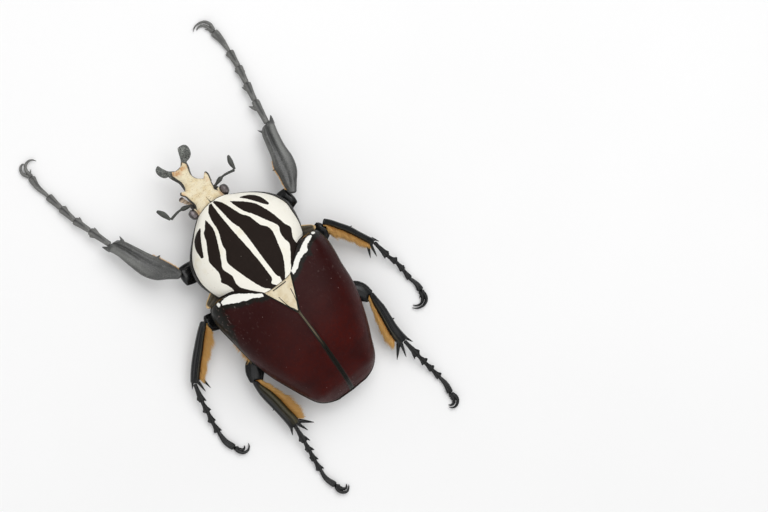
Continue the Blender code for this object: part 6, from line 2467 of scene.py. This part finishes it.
        def fluted(angle: Array, share: Array) -> tuple[Array, Array]:
            """A joint's section, with a groove along its top."""
            c, s = np.cos(angle), np.sin(angle)
            return c, s * (1 - 0.42 * hump(0.0, 0.3, c) * smooth(0.1, 0.45, share) * (s > 0))
        slim = 0.66 if self.digger else 0.56
        widths = scaled(wide, (0, slim), (0.3, slim + 0.04), (0.6, 0.8), (0.88, 0.94), (1, 0.8))
        depths = scaled(wide, (0, 0.42), (0.3, 0.46), (0.75, 0.6), (0.92, 0.62), (1, 0.4))
        lines = []
        for i, (near, spine, corner) in enumerate(leg.foot):
            a = np.array((*near, self.foot_levels[i]))
            b = np.array((*starts[i + 1], self.foot_levels[i + 1]))
            ahead = unit(b - a)
            lines.append((a, b))
            parts.append(sweep([a, (a + b) / 2, b + ahead * 0.1], widths, depths, 34, 48, (0.05, 0.06),
                               fluted))
            for end, start, fine in ((spine, 0.55, 0.2), (corner, 0.6, 0.55)):
                tip = np.array((*end, b[2] + 0.1))
                base = a + (b - a) * start
                parts.append(cone(base + (tip - base) * 0.3, tip, 0.5 * wide, fine))
        path = [(*last[0][:2], 1.0), (*last[1][:2], 1.0), (*last[2][:2], 0.98)]
        widths = ((0, last[0][2]), (0.5, last[1][2]), (0.9, last[2][2]), (1, last[2][2] * 0.8))
        depths = ((0, last[0][2]), (0.5, last[1][2] * 0.9), (0.9, 2.0), (1, 1.6))
        parts.append(sweep(path, widths, depths, 32, 54, (0.04, 0.06), fluted))
        lines.append((np.array(path[0]), np.array(path[2])))
        skin = fused(parts, 0.12, 1).above(0.0)
        # The foot's groove darkening is painted shade in the flutes along the joints.
        skin.values = {"groove": self.groove_shade(skin.points, lines)}
        self.add("foot", skin, "tarsus")

    def groove_shade(self, points: Array, lines: Sequence[tuple[Array, Array]]) -> Array:
        """Painted shade in the groove along the top of each foot joint: how deep in it each point lies.

        Args:
            points: Points of the foot.
            lines: The two ends of each joint's middle line.

        Returns:
            The depth, 0 to 1.
        """
        nearest = np.full(len(points), 1e3)
        found = np.zeros(len(points))
        for i, (a, b) in enumerate(lines):
            ahead = (b - a)[:2]
            share = np.clip((points[:, :2] - a[:2]) @ ahead / (ahead @ ahead), 0, 1)
            gap = np.linalg.norm(points[:, :2] - a[:2] - share[:, None] * ahead, axis=1)
            level = a[2] + (b[2] - a[2]) * share
            deep = hump(0.0, 0.17 * self.leg.foot_width, gap) * smooth(0.12, 0.5, share)
            deep = deep * smooth(-0.2, 0.2, points[:, 2] - level) * (0.7 if i == len(lines) - 1 else 1.0)
            closer = gap < nearest
            found = np.where(closer, deep, found)
            nearest = np.where(closer, gap, nearest)
        return found

    def claws(self) -> None:
        """The pair of hooked claws on their knuckle, with a small spine between."""
        leg = self.leg
        thick = 1.15 if self.digger else 1.25
        sizes = (*scaled(thick, (0, 1.0), (0.3, 0.86), (0.6, 0.62), (0.85, 0.36)), (1, 0.12))
        parts = []
        for curve, lift in zip(leg.claws, (0.3, -0.1)):
            share = np.linspace(0, 1, len(curve))
            path = [(*p, z + lift) for p, z in zip(curve, spline(self.claw_levels, share))]
            parts.append(sweep(path, sizes, sizes, 18, 60, (0.04, 0.04)))
        end, before = np.array((*leg.last[2][:2], 0.9)), np.array((*leg.last[1][:2], 0.9))
        ahead = unit(end - before)
        wide = leg.last[2][2] * 0.72
        parts.append(sweep([end - ahead * 0.1, end + ahead * 0.5, end + ahead * 1.2],
                           ((0, wide), (1, wide * 0.8)), ((0, 1.4), (1, 1.1)), 22, 20, (0.2, 0.4)))
        swing = np.array((*leg.claws[0][-1], 0.6)) - end
        parts.append(cone(end + ahead * 0.5, end + ahead * 1.0 + swing * 0.32, 0.6, 0.16))
        self.add("claws_hooked", fused(parts, 0.09, 1).above(0.0), "claws")

    def brush(self) -> None:
        """The dense golden brush of hair along the inner edge of a mid or hind shin."""
        leg = self.leg
        rng = np.random.default_rng(sum(map(ord, leg.name)))
        inner, outer = (flat(edge) for edge in zip(*leg.shin))
        rows = []
        count = 72
        length = np.linalg.norm(np.subtract(inner[-1], inner[0]))
        for layer in range(4):
            ahead = np.linspace(0.05, 0.985, count) + rng.normal(0, 0.004, count)
            scallop = 1 + 0.07 * np.sin(ahead * 34.0) + rng.uniform(-0.03, 0.03, count)
            long = spline(leg.brush, ahead) * scallop * (1.0 - 0.04 * layer)
            share = np.clip(ahead - self.comb * long / length, 0.015, 0.95)
            edge, goal = along(inner, share), along(inner, np.minimum(ahead, 1.0))
            inward = unit(edge - along(outer, share))
            root = edge - inward * 0.35
            root[:, 2] = spline(leg.shin_levels, share) - 0.75 + 0.35 * layer
            lean = goal + inward * long[:, None] - root
            lean[:, 2] = -0.35 + 0.16 * layer
            rows.append((root, lean, np.stack([share, np.full(count, 0.2 + 0.15 * layer)], -1)))
        root, lean, unwrap = (np.concatenate([row[i] for row in rows]) for i in range(3))
        tufts = Tufts(root, lean, unwrap, hairs=13, width=0.07, spread=0.1, curl=0.05, gather=0.3,
                      bunch=0.03, seed=len(leg.name))
        add_piece("brush_" + leg.name, tufts.shape(), HAIR, "fringe_gold", "fringe_" + leg.name)

    def short_fringe(self) -> None:
        """The short orange fringe at the inner edge of a fore shin, near the knee."""
        leg = self.leg
        rng = np.random.default_rng(5)
        count = 70
        share = np.linspace(0.1, 0.5, count)
        inner, outer = (flat(edge) for edge in zip(*leg.shin))
        edge = along(inner, share)
        inward = unit(edge - along(outer, share))
        ahead = unit(along(inner, share + 0.02) - along(inner, share - 0.02))
        root = edge - inward * 0.2
        root[:, 2] = spline(leg.shin_levels, share) + 0.1
        lean = (inward * 0.6 + ahead * 0.5) * rng.uniform(0.7, 1.1, (count, 1))
        unwrap = np.stack([share, np.full(count, 0.5)], -1)
        tufts = Tufts(root, lean, unwrap, hairs=6, width=0.06, spread=0.08, bunch=0.08, seed=9)
        add_piece("fringe_short_" + leg.name, tufts.shape(), HAIR, "fringe_gold")


# --- Studio ---


@dataclass
class Studio:
    """Pale floor, soft lights and the camera."""

    eye: tuple[float, float, float] = (58.94, -13.89, 702.61)
    look: tuple[float, float, float] = (-0.1311, 0.0235, -0.9911)
    up: tuple[float, float, float] = (-0.5995, -0.7981, 0.0604)
    lens: float = 105.85
    sensor: float = 36.0
    floor_half: float = 1.5

    def build(self) -> None:
        """Makes the floor, the lights, the world and the camera."""
        self.floor()
        self.camera()
        self.light("key_panel", (-0.35, -0.25, 0.75), 0.7, 3.6)
        self.light("fill_panel", (0.6, 0.35, 0.65), 0.9, 1.7)
        self.light("top_panel", (0.0, 0.1, 1.3), 1.2, 3.2)
        world = bpy.data.worlds.new("studio")
        world.use_nodes = True
        background = world.node_tree.nodes["Background"]
        background.inputs["Color"].default_value = (1.0, 1.0, 1.0, 1.0)
        background.inputs["Strength"].default_value = 0.46
        bpy.context.scene.world = world
        bpy.context.scene.view_settings.view_transform = "Standard"

    def floor(self) -> None:
        """A wide pale floor at z = 0."""
        half = self.floor_half
        corners = [(-half, -half, 0), (half, -half, 0), (half, half, 0), (-half, half, 0)]
        mesh = bpy.data.meshes.new("floor")
        mesh.from_pydata(corners, [], [(0, 1, 2, 3)])
        mesh.materials.append(FloorFinish().material())
        floor = bpy.data.objects.new("floor", mesh)
        floor.location.z = -0.00005
        bpy.context.scene.collection.objects.link(floor)

    def light(self, name: str, place: tuple[float, float, float], size: float, power: float) -> None:
        """A soft square panel that faces the beetle.

        Args:
            name: The panel's name.
            place: Where it stands, in metres.
            size: Its side, in metres.
            power: Its power in watts.
        """
        lamp = bpy.data.lights.new(name, "AREA")
        lamp.shape = "SQUARE"
        lamp.size = size
        lamp.energy = power
        panel = bpy.data.objects.new(name, lamp)
        panel.location = place
        panel.rotation_euler = (-Vector(place)).to_track_quat("-Z", "Y").to_euler()
        bpy.context.scene.collection.objects.link(panel)

    def camera(self) -> None:
        """The camera, above the back and tilted a little to the beetle's left."""
        back = -Vector(self.look).normalized()
        right = Vector(self.up).cross(back).normalized()
        upward = back.cross(right)
        data = bpy.data.cameras.new("camera")
        data.sensor_width = self.sensor
        data.lens = self.lens
        data.clip_start = 0.01
        eye = bpy.data.objects.new("camera", data)
        turn = Matrix((right, upward, back)).transposed().to_4x4()
        eye.matrix_world = Matrix.Translation(Vector(self.eye) * MM) @ turn
        bpy.context.scene.collection.objects.link(eye)
        bpy.context.scene.camera = eye


def main() -> None:
    """Builds the beetle and its studio in order."""
    logging.basicConfig(level=logging.INFO, format="%(message)s")
    Studio().build()
    Shield().build()
    Scutellum().build()
    for side in Side:
        WingCase(side, LEFT_MARK if side is Side.LEFT else RIGHT_MARK).build()
        Flank(side).build()
    Head().build()
    Feeler(Side.RIGHT, (-3.9, -46.05, 11.3), (-7.6, -46.95, 11.4), (-11.65, -46.35, 11.6),
           (-11.8, -46.4, 11.6), (-12.7, -51.2, 11.4)).build()
    Feeler(Side.LEFT, (5.3, -45.45, 11.2), (9.4, -46.35, 11.2), (13.2, -45.75, 11.2),
           (13.35, -45.75, 11.2), (15.15, -50.45, 11.2), 1.55).build()
    Mouth().build()
    Trunk().build()
    for leg in LEGS:
        LegBuilder(leg).build()


if __name__ == "__main__":
    main()
